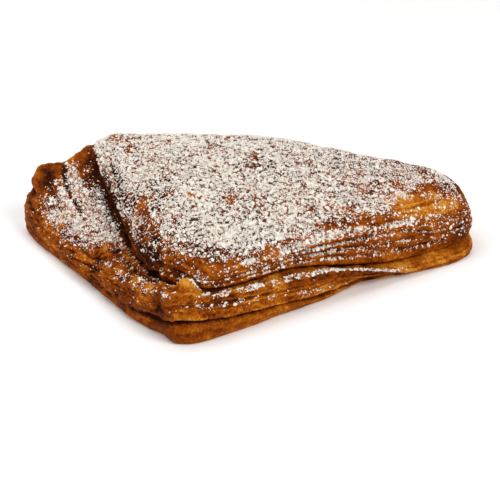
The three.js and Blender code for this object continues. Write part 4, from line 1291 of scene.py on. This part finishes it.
class Dusting:
    """How thickly the sugar lies on each part of the skin, from 0 to 1."""

    def __init__(self, skin):
        self.skin = skin
        self.x, self.y, z = np.moveaxis(skin.points, -1, 0)
        self.up = skin.normals()[..., 2]
        self.clear = skin.distance - skin.upper
        self.rolled = skin.at(LEFT_ROLL)
        self.ragged = uneven(SUGAR_EDGE, self.x, self.y)
        self.ragged_y = self.y + self.ragged
        self.patchy = uneven(SUGAR_PATCHES, self.x, self.y)
        self.blobs = eased(uneven(SUGAR_BLOBS, self.x, self.y, z), SUGAR_BLOB_DUST)
        gate = uneven(SUGAR_GATE, skin.rim_x, skin.rim_y) + SUGAR_GATE_PATCHY * self.patchy
        self.gate = rise(gate, *SUGAR_GATE_OPENS)

    def left_strip(self):
        """Share of the top's sugar that the strip along the left edge leaves."""
        inset = inwards(self.x, self.y, LEFT_SIDE) + self.ragged - eased(self.y, STRIP_WIDER)
        off_strip = np.maximum(rise(inset, *STRIP_WIDTH), rise(self.ragged_y, *STRIP_END_Y))
        return mix(eased(self.ragged_y, STRIP_DUST_Y), 1, off_strip)

    def bared(self):
        """Share of the top's sugar that the bare stretches leave."""
        x, y = self.x, self.y
        left = 1 - FAR_RIGHT_BARE * rise(y, *FAR_RIGHT_Y) * rise(x, *FAR_RIGHT_X)
        left *= 1 - END_BARE_SHARE * spread(x + END_RAGGED * self.ragged, y, END_BARE, END_BARE_RADIUS)
        crease, creased = crease_side(x, y)
        left *= 1 - CREASE_BARE * creased * bell(crease, CREASE_BARE_WIDTH)
        spot_x = x + SPOT_RAGGED_X * self.ragged
        spot_y = y + SPOT_RAGGED_Y * self.ragged
        for spot in BARE_SPOTS + DARK_SPOTS:
            left *= 1 - SPOT_BARE * spotted(spot_x, spot_y, (spot,))
        return left

    def top(self):
        """Sugar on the top: thick behind the front shoulder, thin over it."""
        x, y = self.x, self.y
        past_shoulder = inwards(x, y, FRONT) - straight(x, SHOULDER) + self.ragged
        thick = rise(past_shoulder / straight(x, SHOULDER_SOFT), -1, 1)
        bunched = eased(uneven(SUGAR_BUNCHES, x, y), SUGAR_BUNCH_DUST)
        thin = mix(THIN_BLOBS * self.blobs, THIN_BUNCHES * bunched, rise(x, *THIN_BUNCHES_X))
        on_leaf = rise(self.skin.level + ROLL_DUST_LOWER * self.rolled, *TOP_DUST_LEVELS)
        on_leaf *= rise(self.up + ROLL_DUST_STEEPER * self.rolled, *TOP_DUST_UP)
        amount = eased(x, TOP_DUST) * (1 + eased(x, NEAR_MORE_X) * eased(y, NEAR_MORE_Y))
        amount *= np.clip(TOP_PATCH_MEAN + TOP_PATCH_SPREAD * self.patchy, 0, 1)
        return on_leaf * mix(thin, 1, thick) * amount * self.left_strip() * self.bared()

    def roll(self):
        """Sugar on the roll along the left edge: specks near, more at the far end."""
        past_near = rise(self.y, *ROLL_STRIP_Y)
        speckled = mix(eased(self.ragged_y, ROLL_SPECKLED_Y), STRIP_DUST, past_near)
        lying = mix(speckled, ROLL_END_DUST, rise(self.ragged_y, *ROLL_END_Y))
        lying *= rise(self.up + ROLL_DUST_STEEPER * (1 - past_near), *ROLL_DUST_UP)
        return lying * self.skin.within(*ROLL_DUST_LEVELS) * self.rolled

    def face(self):
        """Sugar on the layered edge of the upper leaf."""
        skin = self.skin
        lying = FACE_FILM * rise(self.up, *FACE_FILM_UP)
        lying += FACE_LYING * self.gate * rise(self.up, *FACE_LYING_UP)
        lying *= 1 - FACE_CORNER_BARE * spread(self.x, self.y, CORNER, CORNER_RADIUS)
        lying *= mix(1, rise(skin.level, *FACE_HIGH_LEVELS), rise(-self.x, *FACE_HIGH_X))
        lying *= mix(self.blobs, 1, rise(self.x, *FACE_BLOBS_X))
        return lying * skin.within(*FACE_DUST_LEVELS) * skin.at(FACE_DUST) * skin.open

    def face_line(self):
        """Sugar in a broken line above the rim of the upper leaf."""
        skin = self.skin
        whole = rise(uneven(FACE_LINE_BREAKS, skin.rim_x, skin.rim_y), *FACE_LINE_WHOLE)
        ragged = FACE_LINE_RAGGED * skin.rough(*FACE_LINE_SWELLS)
        off_line = skin.level - RIM - skin.at(FACE_LINE_RISE) - ragged
        return FACE_LINE_DUST * whole * bell(off_line, FACE_LINE_WIDTH) * skin.at(FACE_LINE)

    def lip_line(self):
        """Sugar along the top of the lip, at the foot of the upper leaf."""
        skin = self.skin
        near = 1 - rise(skin.place, LINE_NEAR_END, FRONT_B) + rise(skin.place, LEFT_A, LEFT_C)
        to_right = rise(skin.place, FRONT_B, FRONT_C)
        at_foot = rise(self.clear, *LINE_FOOT)
        at_foot *= 1 - near * rise(self.clear + self.ragged, *LINE_NEAR_REACH)
        heaped = rise(uneven(LINE_HEAPS, skin.rim_x, skin.rim_y), *LINE_HEAPED)
        heaped = mix(heaped, 1, LINE_EVEN_RIGHT * to_right)
        gated = mix(LINE_GATED + LINE_GATED_RIGHT * to_right, 1, self.gate)
        inner = LINE_INNER + LINE_INNER_NEAR * near
        outer = LINE_OUTER + LINE_OUTER_RIGHT * to_right
        lying = LINE_DUST * heaped * gated * at_foot
        return lying * skin.within(outer, inner, LINE_SOFT) * skin.at(POWDER_LINE)

    def ledge(self):
        """Sugar in spots on the ledge of the lip."""
        skin = self.skin
        whole = rise(uneven(LEDGE_BREAKS, skin.rim_x, skin.rim_y), *LEDGE_WHOLE)
        off_ledge = skin.level - skin.at(LEDGE_SPOTS)
        return LEDGE_DUST * whole * bell(off_ledge, eased(skin.place, LEDGE_WIDTH)) * skin.at(POWDER_LEDGE)

    def wing(self):
        """Sugar on the wing: past its ragged edge, and clear of the crevice, the knob and the far end."""
        skin = self.skin
        past_edge = skin.lower - skin.distance - skin.at(WING_EDGE) + WING_RAGGED * self.ragged
        lying = eased(past_edge, WING_PAST_EDGE) * rise(past_edge, *WING_SPECKS_FROM)
        lying *= skin.within(*WING_LEVELS) * rise(self.up, *WING_UP) * eased(self.y, WING_ALONG)
        side, shown = crevice_side(self.x, self.y)
        lying *= 1 - shown * bell(side - WING_CREVICE_AT, WING_CREVICE_WIDTH)
        lying *= 1 - burnt_knob(self.x, self.y, KNOB_RADIUS)
        lying *= 1 - WING_RIGHT_THIN * rise(side, *WING_RIGHT_SIDE) * rise(self.y, *WING_RIGHT_Y)
        end = eased(side, WING_END)
        past_end = WING_PAST_END * rise(side, *WING_PAST_END_SIDE)
        lying *= mix(1, past_end, rise(self.ragged_y, end, end + WING_END_FADE))
        lying *= 1 - rise(WING_OVERHUNG_RAGGED * self.ragged - self.clear, *WING_OVERHUNG)
        return WING_MOST * lying * skin.at(WING_DUST)

    def gap_ridge(self):
        """Sugar in a ridge in the gap beside the upper leaf."""
        skin = self.skin
        off_ridge = self.clear - skin.at(GAP_RIDGE_CLEAR) - GAP_RIDGE_RAGGED * self.ragged
        lying = GAP_RIDGE_DUST * bell(off_ridge, GAP_RIDGE_WIDTH)
        return lying * skin.within(*GAP_RIDGE_LEVELS) * skin.at(GAP_RIDGE)

    def ridge_bits(self):
        """Sugar in clumped bits on the ridge of the near left lip."""
        skin = self.skin
        clumped = rise(uneven(BIT_CLUMPS, self.x, self.y), *BIT_CLUMPED)
        lying = RIDGE_BIT_DUST * clumped * rise(self.up, *RIDGE_BIT_UP)
        return lying * skin.within(*RIDGE_BIT_LEVELS) * skin.at(RIDGE_BITS)

    def sparse_bits(self):
        """Sugar in sparse bits on the lip's face, and on the shelf at the near left."""
        skin = self.skin
        on_lip = SPARSE_LIP_DUST * rise(self.up, *SPARSE_LIP_UP)
        on_shelf = SPARSE_SHELF_DUST * rise(self.up, *SPARSE_SHELF_UP)
        lying = on_lip * skin.within(*SPARSE_LIP_LEVELS) * skin.at(SPARSE_BITS)
        return lying + on_shelf * skin.within(*SPARSE_SHELF_LEVELS) * skin.at(RIDGE_BITS)

    def thickest(self):
        """The thickest of all that lies at each point."""
        parts = [self.top(), self.roll(), self.face(), self.face_line(), self.lip_line(), self.ledge(),
                 self.wing(), self.gap_ridge(), self.ridge_bits(), self.sparse_bits()]
        return np.clip(np.maximum.reduce(parts), 0, 1)


def skin_mesh(skin, name):
    """Closed mesh of the skin with its browning, painted shade and light included, and its dusting as
    attributes.
    """
    middle_x, middle_y = solid_middle()
    rings, stations = skin.distance.shape
    sole = np.array([[*MIDDLE, 0]])
    crown = np.array([[*MIDDLE, skin.points[-1, :, 2].mean()]])
    points = np.concatenate([sole, skin.points.reshape(-1, 3), crown]) - np.array([middle_x, middle_y, 0])
    points[:, 2] = np.maximum(points[:, 2], 0)
    station = np.arange(stations)
    following = (station + 1) % stations
    low = 1 + stations * np.arange(rings - 1)[:, None]
    high = low + stations
    quads = np.stack([low + station, low + following, high + following, high + station], axis=-1)
    last = 1 + stations * (rings - 1)
    fan_low = np.stack([0 * station, 1 + following, 1 + station], axis=-1)
    fan_high = np.stack([last + station, last + following, 0 * station + len(points) - 1], axis=-1)
    faces = quads.reshape(-1, 4).tolist() + fan_low.tolist() + fan_high.tolist()
    mesh = bpy.data.meshes.new(name)
    mesh.from_pydata((points * MM).tolist(), [], faces)
    for attribute, values in (("browning_and_shade", browning_and_shade(skin)), ("dusting", Dusting(skin).thickest())):
        ends = np.concatenate([[values[0].mean()], values.reshape(-1), [values[-1].mean()]])
        mesh.attributes.new(attribute, "FLOAT", "POINT").data.foreach_set("value", ends)
    mesh.polygons.foreach_set("use_smooth", np.ones(len(faces), dtype=bool))
    mesh.update()
    return mesh


def add_node(tree, kind, inputs=(), **settings):
    """Add a node with its settings, its inputs being values or other nodes' outputs by name or number."""
    node = tree.nodes.new(kind)
    for name, value in settings.items():
        setattr(node, name, value)
    for socket, value in dict(inputs).items():
        if isinstance(value, bpy.types.NodeSocket):
            tree.links.new(value, node.inputs[socket])
        else:
            node.inputs[socket].default_value = value
    return node


def new_material(name):
    """Material with an empty tree, and its Principled shader linked to its output."""
    material = bpy.data.materials.new(name)
    material.use_nodes = True
    tree = material.node_tree
    tree.nodes.clear()
    shader = add_node(tree, "ShaderNodeBsdfPrincipled")
    add_node(tree, "ShaderNodeOutputMaterial", {"Surface": shader.outputs["BSDF"]})
    return material, tree, shader


def opaque(colour, shade=1):
    """Colour with full alpha, darkened to a share."""
    return (*[channel * shade for channel in colour], 1)


def crust_tone(tree, where, crust):
    """Colour of the bare crust by its browning and its painted shade and light, and the height of its
    crumb.
    """
    level = add_node(tree, "ShaderNodeAttribute", attribute_name="browning_and_shade").outputs["Fac"]
    patterns = (BLOTCHES, CRUMB, FLECKS)
    heights = {}
    for width, detail, roughness, amount in patterns:
        noise = add_node(tree, "ShaderNodeTexNoise", {"Vector": where, "Scale": 1 / (width * MM),
                                                      "Detail": detail, "Roughness": roughness})
        heights[width] = noise.outputs["Fac"]
        level = add_node(tree, "ShaderNodeMath", {0: heights[width], 1: amount, 2: level},
                         operation="MULTIPLY_ADD").outputs[0]
    middle = sum(amount for width, detail, roughness, amount in patterns) / 2
    level = add_node(tree, "ShaderNodeMath", {0: level, 1: middle}, operation="SUBTRACT").outputs[0]
    tone = add_node(tree, "ShaderNodeValToRGB", {"Fac": level})
    stops = tone.color_ramp.elements
    stops[0].position = CRUST_STOPS[0]
    stops[1].position = CRUST_STOPS[-1]
    for position in CRUST_STOPS[1:-1]:
        stops.new(position)
    colours = (crust.golden, crust.orange, crust.brown, crust.dark, crust.burnt)
    for stop, colour in zip(stops, colours):
        stop.color = opaque(colour)
    return tone.outputs["Color"], heights[CRUMB[0]]


def sugar_film(tree, where, dusted):
    """How far a film of sugar covers the crust: the tops of the drifts, more where it is dusted more."""
    drift = add_node(tree, "ShaderNodeTexNoise", {"Vector": where, "Scale": 1 / (DRIFT_WIDTH * MM),
                                                  "Detail": DRIFT_DETAIL})
    bar = add_node(tree, "ShaderNodeMath", {0: dusted, 1: FILM_DUSTED, 2: FILM_FROM},
                   operation="MULTIPLY_ADD")
    above = add_node(tree, "ShaderNodeMath", {0: drift.outputs["Fac"], 1: bar.outputs[0]},
                     operation="SUBTRACT")
    film = add_node(tree, "ShaderNodeMapRange", {"Value": above.outputs[0], "From Min": FILM_EDGE[0],
                                                 "From Max": FILM_EDGE[1]})
    return film.outputs[0]


def crust_material(crust, sugar):
    """Baked puff pastry, matt and crumbly, with a film of sugar where it is dusted."""
    # Dry flaky dough browned in the oven: the eye sees a dull crust without highlights, blotched from gold
    # to nearly black, and darkest at its edges. Real crumb and real sugar are finer than a pixel, so both
    # patterns are drawn coarser, about one millimetre wide.
    material, tree, shader = new_material("baked_puff_pastry")
    where = add_node(tree, "ShaderNodeTexCoord").outputs["Object"]
    dusted = add_node(tree, "ShaderNodeAttribute", attribute_name="dusting").outputs["Fac"]
    tone, crumb = crust_tone(tree, where, crust)
    film = sugar_film(tree, where, dusted)
    # Painted shade: darkened sugar colour under the film, for sugar shaded in the pits between the drifts.
    pit_shade = add_node(tree, "ShaderNodeMapRange", {"Value": dusted, "From Min": PIT_SHADE_DUSTED[0],
                                                 "From Max": PIT_SHADE_DUSTED[1], "To Max": PIT_SHADE_MOST})
    shaded = opaque(sugar.colour, PIT_SHADE_TONE)
    under = add_node(tree, "ShaderNodeMix", {0: pit_shade.outputs[0], 6: tone, 7: shaded}, data_type="RGBA")
    colour = add_node(tree, "ShaderNodeMix", {0: film, 6: under.outputs[2], 7: opaque(sugar.colour)},
                      data_type="RGBA")
    tree.links.new(colour.outputs[2], shader.inputs["Base Color"])
    matt = add_node(tree, "ShaderNodeMapRange", {"Value": film, "To Min": CRUST_ROUGHNESS,
                                                 "To Max": SUGAR_ROUGHNESS})
    tree.links.new(matt.outputs[0], shader.inputs["Roughness"])
    height = add_node(tree, "ShaderNodeMath", {0: film, 1: FILM_HEIGHT, 2: crumb}, operation="MULTIPLY_ADD")
    bump = add_node(tree, "ShaderNodeBump", {"Height": height.outputs[0], "Strength": 1.0,
                                             "Distance": CRUMB_DEPTH})
    tree.links.new(bump.outputs["Normal"], shader.inputs["Normal"])
    shader.inputs["Specular IOR Level"].default_value = CRUST_SPECULAR
    return material


def sugar_material(sugar):
    """Icing sugar, a dry white powder."""
    # Ground sugar scatters all light: the eye sees a soft matt white without gloss, a little greyer where
    # it lies loosely.
    material, tree, shader = new_material("icing_sugar")
    where = add_node(tree, "ShaderNodeTexCoord").outputs["Object"]
    loose = add_node(tree, "ShaderNodeTexNoise", {"Vector": where, "Scale": 1 / (LOOSE_WIDTH * MM),
                                                  "Detail": LOOSE_DETAIL})
    tone = add_node(tree, "ShaderNodeValToRGB", {"Fac": loose.outputs["Fac"]})
    for stop, position, shade in zip(tone.color_ramp.elements, LOOSE_SWELL, (LOOSE_SHADE, 1)):
        stop.position = position
        stop.color = opaque(sugar.colour, shade)
    tree.links.new(tone.outputs["Color"], shader.inputs["Base Color"])
    shader.inputs["Roughness"].default_value = SUGAR_ROUGHNESS
    shader.inputs["Specular IOR Level"].default_value = SUGAR_SPECULAR
    return material


def floor_material(stage):
    """Matt white board."""
    # Uncoated board: the eye sees an even, nearly white ground with soft shadows and no reflections.
    material, tree, shader = new_material("matt_white_board")
    shader.inputs["Base Color"].default_value = opaque(stage.floor)
    shader.inputs["Roughness"].default_value = FLOOR_ROUGHNESS
    return material


def drifted_density(tree, grains_per_area):
    """Density of the grains: by the dusting, and gathered in drifts."""
    dusted = add_node(tree, "GeometryNodeInputNamedAttribute", {"Name": "dusting"}, data_type="FLOAT")
    where = add_node(tree, "GeometryNodeInputPosition").outputs[0]
    drift = add_node(tree, "ShaderNodeTexNoise", {"Vector": where, "Scale": 1 / (DRIFT_WIDTH * MM),
                                                  "Detail": DRIFT_DETAIL})
    heaped = add_node(tree, "ShaderNodeMapRange", {"Value": drift.outputs[0], "From Min": DRIFT_SWELL[0],
                                                   "From Max": DRIFT_SWELL[1], "To Min": DRIFT_GRAINS[0],
                                                   "To Max": DRIFT_GRAINS[1]})
    wanted = add_node(tree, "ShaderNodeMath", {0: dusted.outputs["Attribute"], 1: grains_per_area},
                      operation="MULTIPLY")
    density = add_node(tree, "ShaderNodeMath", {0: wanted.outputs[0], 1: heaped.outputs[0]},
                       operation="MULTIPLY")
    return density.outputs[0]


def grain_scale(tree, given):
    """Scale of each grain: a random width, stretched unevenly and flattened."""
    seed = given["Seed"]
    size = add_node(tree, "FunctionNodeRandomValue", {2: given["Least"], 3: given["Most"], "Seed": seed},
                    data_type="FLOAT")
    wide = add_node(tree, "ShaderNodeMath", {0: size.outputs[1], 1: given["Width"]}, operation="MULTIPLY")
    stretch = add_node(tree, "FunctionNodeRandomValue", {0: STRETCH_LEAST, 1: STRETCH_MOST, "Seed": seed},
                       data_type="FLOAT_VECTOR")
    flat = add_node(tree, "ShaderNodeCombineXYZ", {0: 1.0, 1: 1.0, 2: given["Thickness"]})
    shape = add_node(tree, "ShaderNodeVectorMath", {0: stretch.outputs[0], 1: flat.outputs[0]},
                     operation="MULTIPLY")
    scale = add_node(tree, "ShaderNodeVectorMath", {0: shape.outputs[0], "Scale": wide.outputs[0]},
                     operation="SCALE")
    return scale.outputs[0]


def scatter_tree(name, grain_kind, grain_settings):
    """Geometry Nodes that scatter grains over a skin by its dusting, as one realized mesh."""
    tree = bpy.data.node_groups.new(name, "GeometryNodeTree")
    sockets = {}
    for label, kind in (("Skin", "NodeSocketGeometry"), ("Grains per square metre", "NodeSocketFloat"),
                        ("Width", "NodeSocketFloat"), ("Least", "NodeSocketFloat"),
                        ("Most", "NodeSocketFloat"), ("Thickness", "NodeSocketFloat"),
                        ("Seed", "NodeSocketInt"), ("Material", "NodeSocketMaterial")):
        sockets[label] = tree.interface.new_socket(label, in_out="INPUT", socket_type=kind).identifier
    tree.interface.new_socket("Grains", in_out="OUTPUT", socket_type="NodeSocketGeometry")
    given = add_node(tree, "NodeGroupInput").outputs
    density = drifted_density(tree, given["Grains per square metre"])
    points = add_node(tree, "GeometryNodeDistributePointsOnFaces",
                      {"Mesh": given["Skin"], "Density": density, "Seed": given["Seed"]})
    grain = add_node(tree, grain_kind, grain_settings)
    spin = add_node(tree, "FunctionNodeRandomValue",
                    {0: (-GRAIN_TILT, -GRAIN_TILT, 0), 1: (GRAIN_TILT, GRAIN_TILT, 2 * math.pi),
                     "Seed": given["Seed"]}, data_type="FLOAT_VECTOR")
    turned = add_node(tree, "FunctionNodeRotateRotation",
                      {"Rotation": points.outputs["Rotation"], "Rotate By": spin.outputs[0]},
                      rotation_space="LOCAL")
    placed = add_node(tree, "GeometryNodeInstanceOnPoints",
                      {"Points": points.outputs["Points"], "Instance": grain.outputs["Mesh"],
                       "Rotation": turned.outputs[0], "Scale": grain_scale(tree, given)})
    joined = add_node(tree, "GeometryNodeRealizeInstances", {"Geometry": placed.outputs[0]})
    finished = add_node(tree, "GeometryNodeSetMaterial",
                        {"Geometry": joined.outputs[0], "Material": given["Material"]})
    add_node(tree, "NodeGroupOutput", {0: finished.outputs[0]})
    return tree, sockets


def dusted_area(mesh):
    """Area of a skin weighted by its dusting, in square metres."""
    count = len(mesh.polygons)
    areas = np.empty(count)
    mesh.polygons.foreach_get("area", areas)
    dust = np.empty(len(mesh.vertices))
    mesh.attributes["dusting"].data.foreach_get("value", dust)
    corners = np.empty(len(mesh.loops), dtype=int)
    mesh.loops.foreach_get("vertex_index", corners)
    starts = np.empty(count, dtype=int)
    mesh.polygons.foreach_get("loop_start", starts)
    sizes = np.empty(count, dtype=int)
    mesh.polygons.foreach_get("loop_total", sizes)
    mean_dust = np.add.reduceat(dust[corners], starts) / sizes
    return float(np.sum(areas * mean_dust))


def scatter(name, skin_object, tree, sockets, values):
    """Run a scatter tree over the crust and keep its result as a plain mesh."""
    piece = bpy.data.objects.new(name, skin_object.data.copy())
    bpy.context.collection.objects.link(piece)
    modifier = piece.modifiers.new("Scatter", "NODES")
    modifier.node_group = tree
    for label, value in values.items():
        modifier[sockets[label]] = value
    evaluated = piece.evaluated_get(bpy.context.evaluated_depsgraph_get())
    mesh = bpy.data.meshes.new_from_object(evaluated)
    piece.modifiers.remove(modifier)
    piece.data = mesh
    mesh.name = name
    mesh.polygons.foreach_set("use_smooth", np.zeros(len(mesh.polygons), dtype=bool))
    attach(piece, "root")
    return piece


class TURNOVER_OT_crust(bpy.types.Operator):
    """Build the baked pastry over the frame's solid"""

    bl_idname = "turnover.crust"
    bl_label = "Bake crust"

    def execute(self, context):
        settings = context.scene.turnover_crust
        skin = Skin(SKIN_STATIONS)
        skin.draw()
        add_relief(skin, settings)
        crust = bpy.data.objects.new("crust", skin_mesh(skin, "crust"))
        context.collection.objects.link(crust)
        crust.data.materials.append(crust_material(settings, context.scene.turnover_sugar))
        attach(crust, "root")
        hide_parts("turnover")
        return {"FINISHED"}


class TURNOVER_OT_sugar(bpy.types.Operator):
    """Dust the crust with icing sugar"""

    bl_idname = "turnover.sugar"
    bl_label = "Dust with sugar"

    def execute(self, context):
        settings = context.scene.turnover_sugar
        crust = bpy.data.objects["crust"]
        area = dusted_area(crust.data)
        material = sugar_material(settings)
        chip = ("GeometryNodeMeshCone", CHIP)
        lump = ("GeometryNodeMeshIcoSphere", LUMP)
        kinds = (
            ("sugar_powder", chip, settings.powder_count, settings.powder_size, CHIP_THICKNESS),
            ("sugar_grains", chip, settings.grain_count, settings.grain_size, CHIP_THICKNESS),
            ("sugar_clumps", lump, settings.clump_count, settings.clump_size, LUMP_THICKNESS),
        )
        for number, (name, grain, count, width, thickness) in enumerate(kinds):
            tree, sockets = scatter_tree(name, *grain)
            scatter(name, crust, tree, sockets, {
                "Grains per square metre": count / area, "Width": width, "Least": GRAIN_LEAST,
                "Most": GRAIN_MOST, "Thickness": thickness, "Seed": settings.seed + number,
                "Material": material})
        return {"FINISHED"}


def add_area_light(name, power, size, place):
    """Square soft light that faces the target."""
    light = bpy.data.lights.new(name, "AREA")
    light.energy = power
    light.size = size
    lamp = bpy.data.objects.new(name, light)
    lamp.location = place
    lamp.rotation_euler = (Vector(TARGET) - Vector(place)).to_track_quat("-Z", "Y").to_euler()
    bpy.context.collection.objects.link(lamp)


def add_floor(settings):
    """Square floor just under the sole."""
    half = FLOOR_SIZE / 2
    mesh = bpy.data.meshes.new("floor")
    corners = [(-half, -half), (half, -half), (half, half), (-half, half)]
    mesh.from_pydata([(x, y, -FLOOR_DROP) for x, y in corners], [], [(0, 1, 2, 3)])
    mesh.materials.append(floor_material(settings))
    floor = bpy.data.objects.new("floor", mesh)
    bpy.context.collection.objects.link(floor)


def add_camera(settings):
    """Camera that looks down at the target from the front."""
    lens = bpy.data.cameras.new("camera")
    lens.lens = settings.lens
    lens.sensor_width = SENSOR_WIDTH
    camera = bpy.data.objects.new("camera", lens)
    back = settings.distance * math.cos(settings.elevation)
    up = settings.distance * math.sin(settings.elevation)
    camera.location = Vector(TARGET) + Vector((0, -back, up))
    camera.rotation_euler = (math.pi / 2 - settings.elevation, 0, 0)
    bpy.context.collection.objects.link(camera)
    return camera


class TURNOVER_OT_stage(bpy.types.Operator):
    """Add the floor, the lights and the camera"""

    bl_idname = "turnover.stage"
    bl_label = "Set stage"

    def execute(self, context):
        settings = context.scene.turnover_stage
        add_floor(settings)
        world = bpy.data.worlds.new("soft_room")
        world.use_nodes = True
        background = world.node_tree.nodes["Background"]
        background.inputs["Color"].default_value = (1, 1, 1, 1)
        background.inputs["Strength"].default_value = settings.sky
        context.scene.world = world
        add_area_light("key", settings.key_power, KEY_SIZE, KEY_PLACE)
        add_area_light("top", settings.top_power, TOP_SIZE, TOP_PLACE)
        add_area_light("fill", settings.fill_power, FILL_SIZE, FILL_PLACE)
        context.scene.camera = add_camera(settings)
        context.scene.view_settings.view_transform = "Standard"
        return {"FINISHED"}


class TURNOVER_PT_panel(bpy.types.Panel):
    """Steps and settings of the turnover"""

    bl_idname = "TURNOVER_PT_panel"
    bl_label = "Jam turnover"
    bl_space_type = "VIEW_3D"
    bl_region_type = "UI"
    bl_category = "Turnover"

    def draw(self, context):
        scene = context.scene
        for operator, settings in (("turnover.crust", scene.turnover_crust),
                                   ("turnover.sugar", scene.turnover_sugar),
                                   ("turnover.stage", scene.turnover_stage)):
            box = self.layout.box()
            box.operator(operator)
            for name in settings.bl_rna.properties.keys():
                if name not in ("rna_type", "name"):
                    box.prop(settings, name)


CLASSES = (CrustSettings, SugarSettings, StageSettings, TURNOVER_OT_crust, TURNOVER_OT_sugar,
           TURNOVER_OT_stage, TURNOVER_PT_panel)


def register():
    """Register the settings, the operators and the panel."""
    for cls in CLASSES:
        bpy.utils.register_class(cls)
    bpy.types.Scene.turnover_crust = PointerProperty(type=CrustSettings)
    bpy.types.Scene.turnover_sugar = PointerProperty(type=SugarSettings)
    bpy.types.Scene.turnover_stage = PointerProperty(type=StageSettings)


def unregister():
    """Take the settings, the operators and the panel out again."""
    del bpy.types.Scene.turnover_stage
    del bpy.types.Scene.turnover_sugar
    del bpy.types.Scene.turnover_crust
    for cls in reversed(CLASSES):
        bpy.utils.unregister_class(cls)


def main():
    """Build the turnover and its stage."""
    register()
    bpy.ops.turnover.crust()
    bpy.ops.turnover.sugar()
    bpy.ops.turnover.stage()


if __name__ == "__main__":
    main()
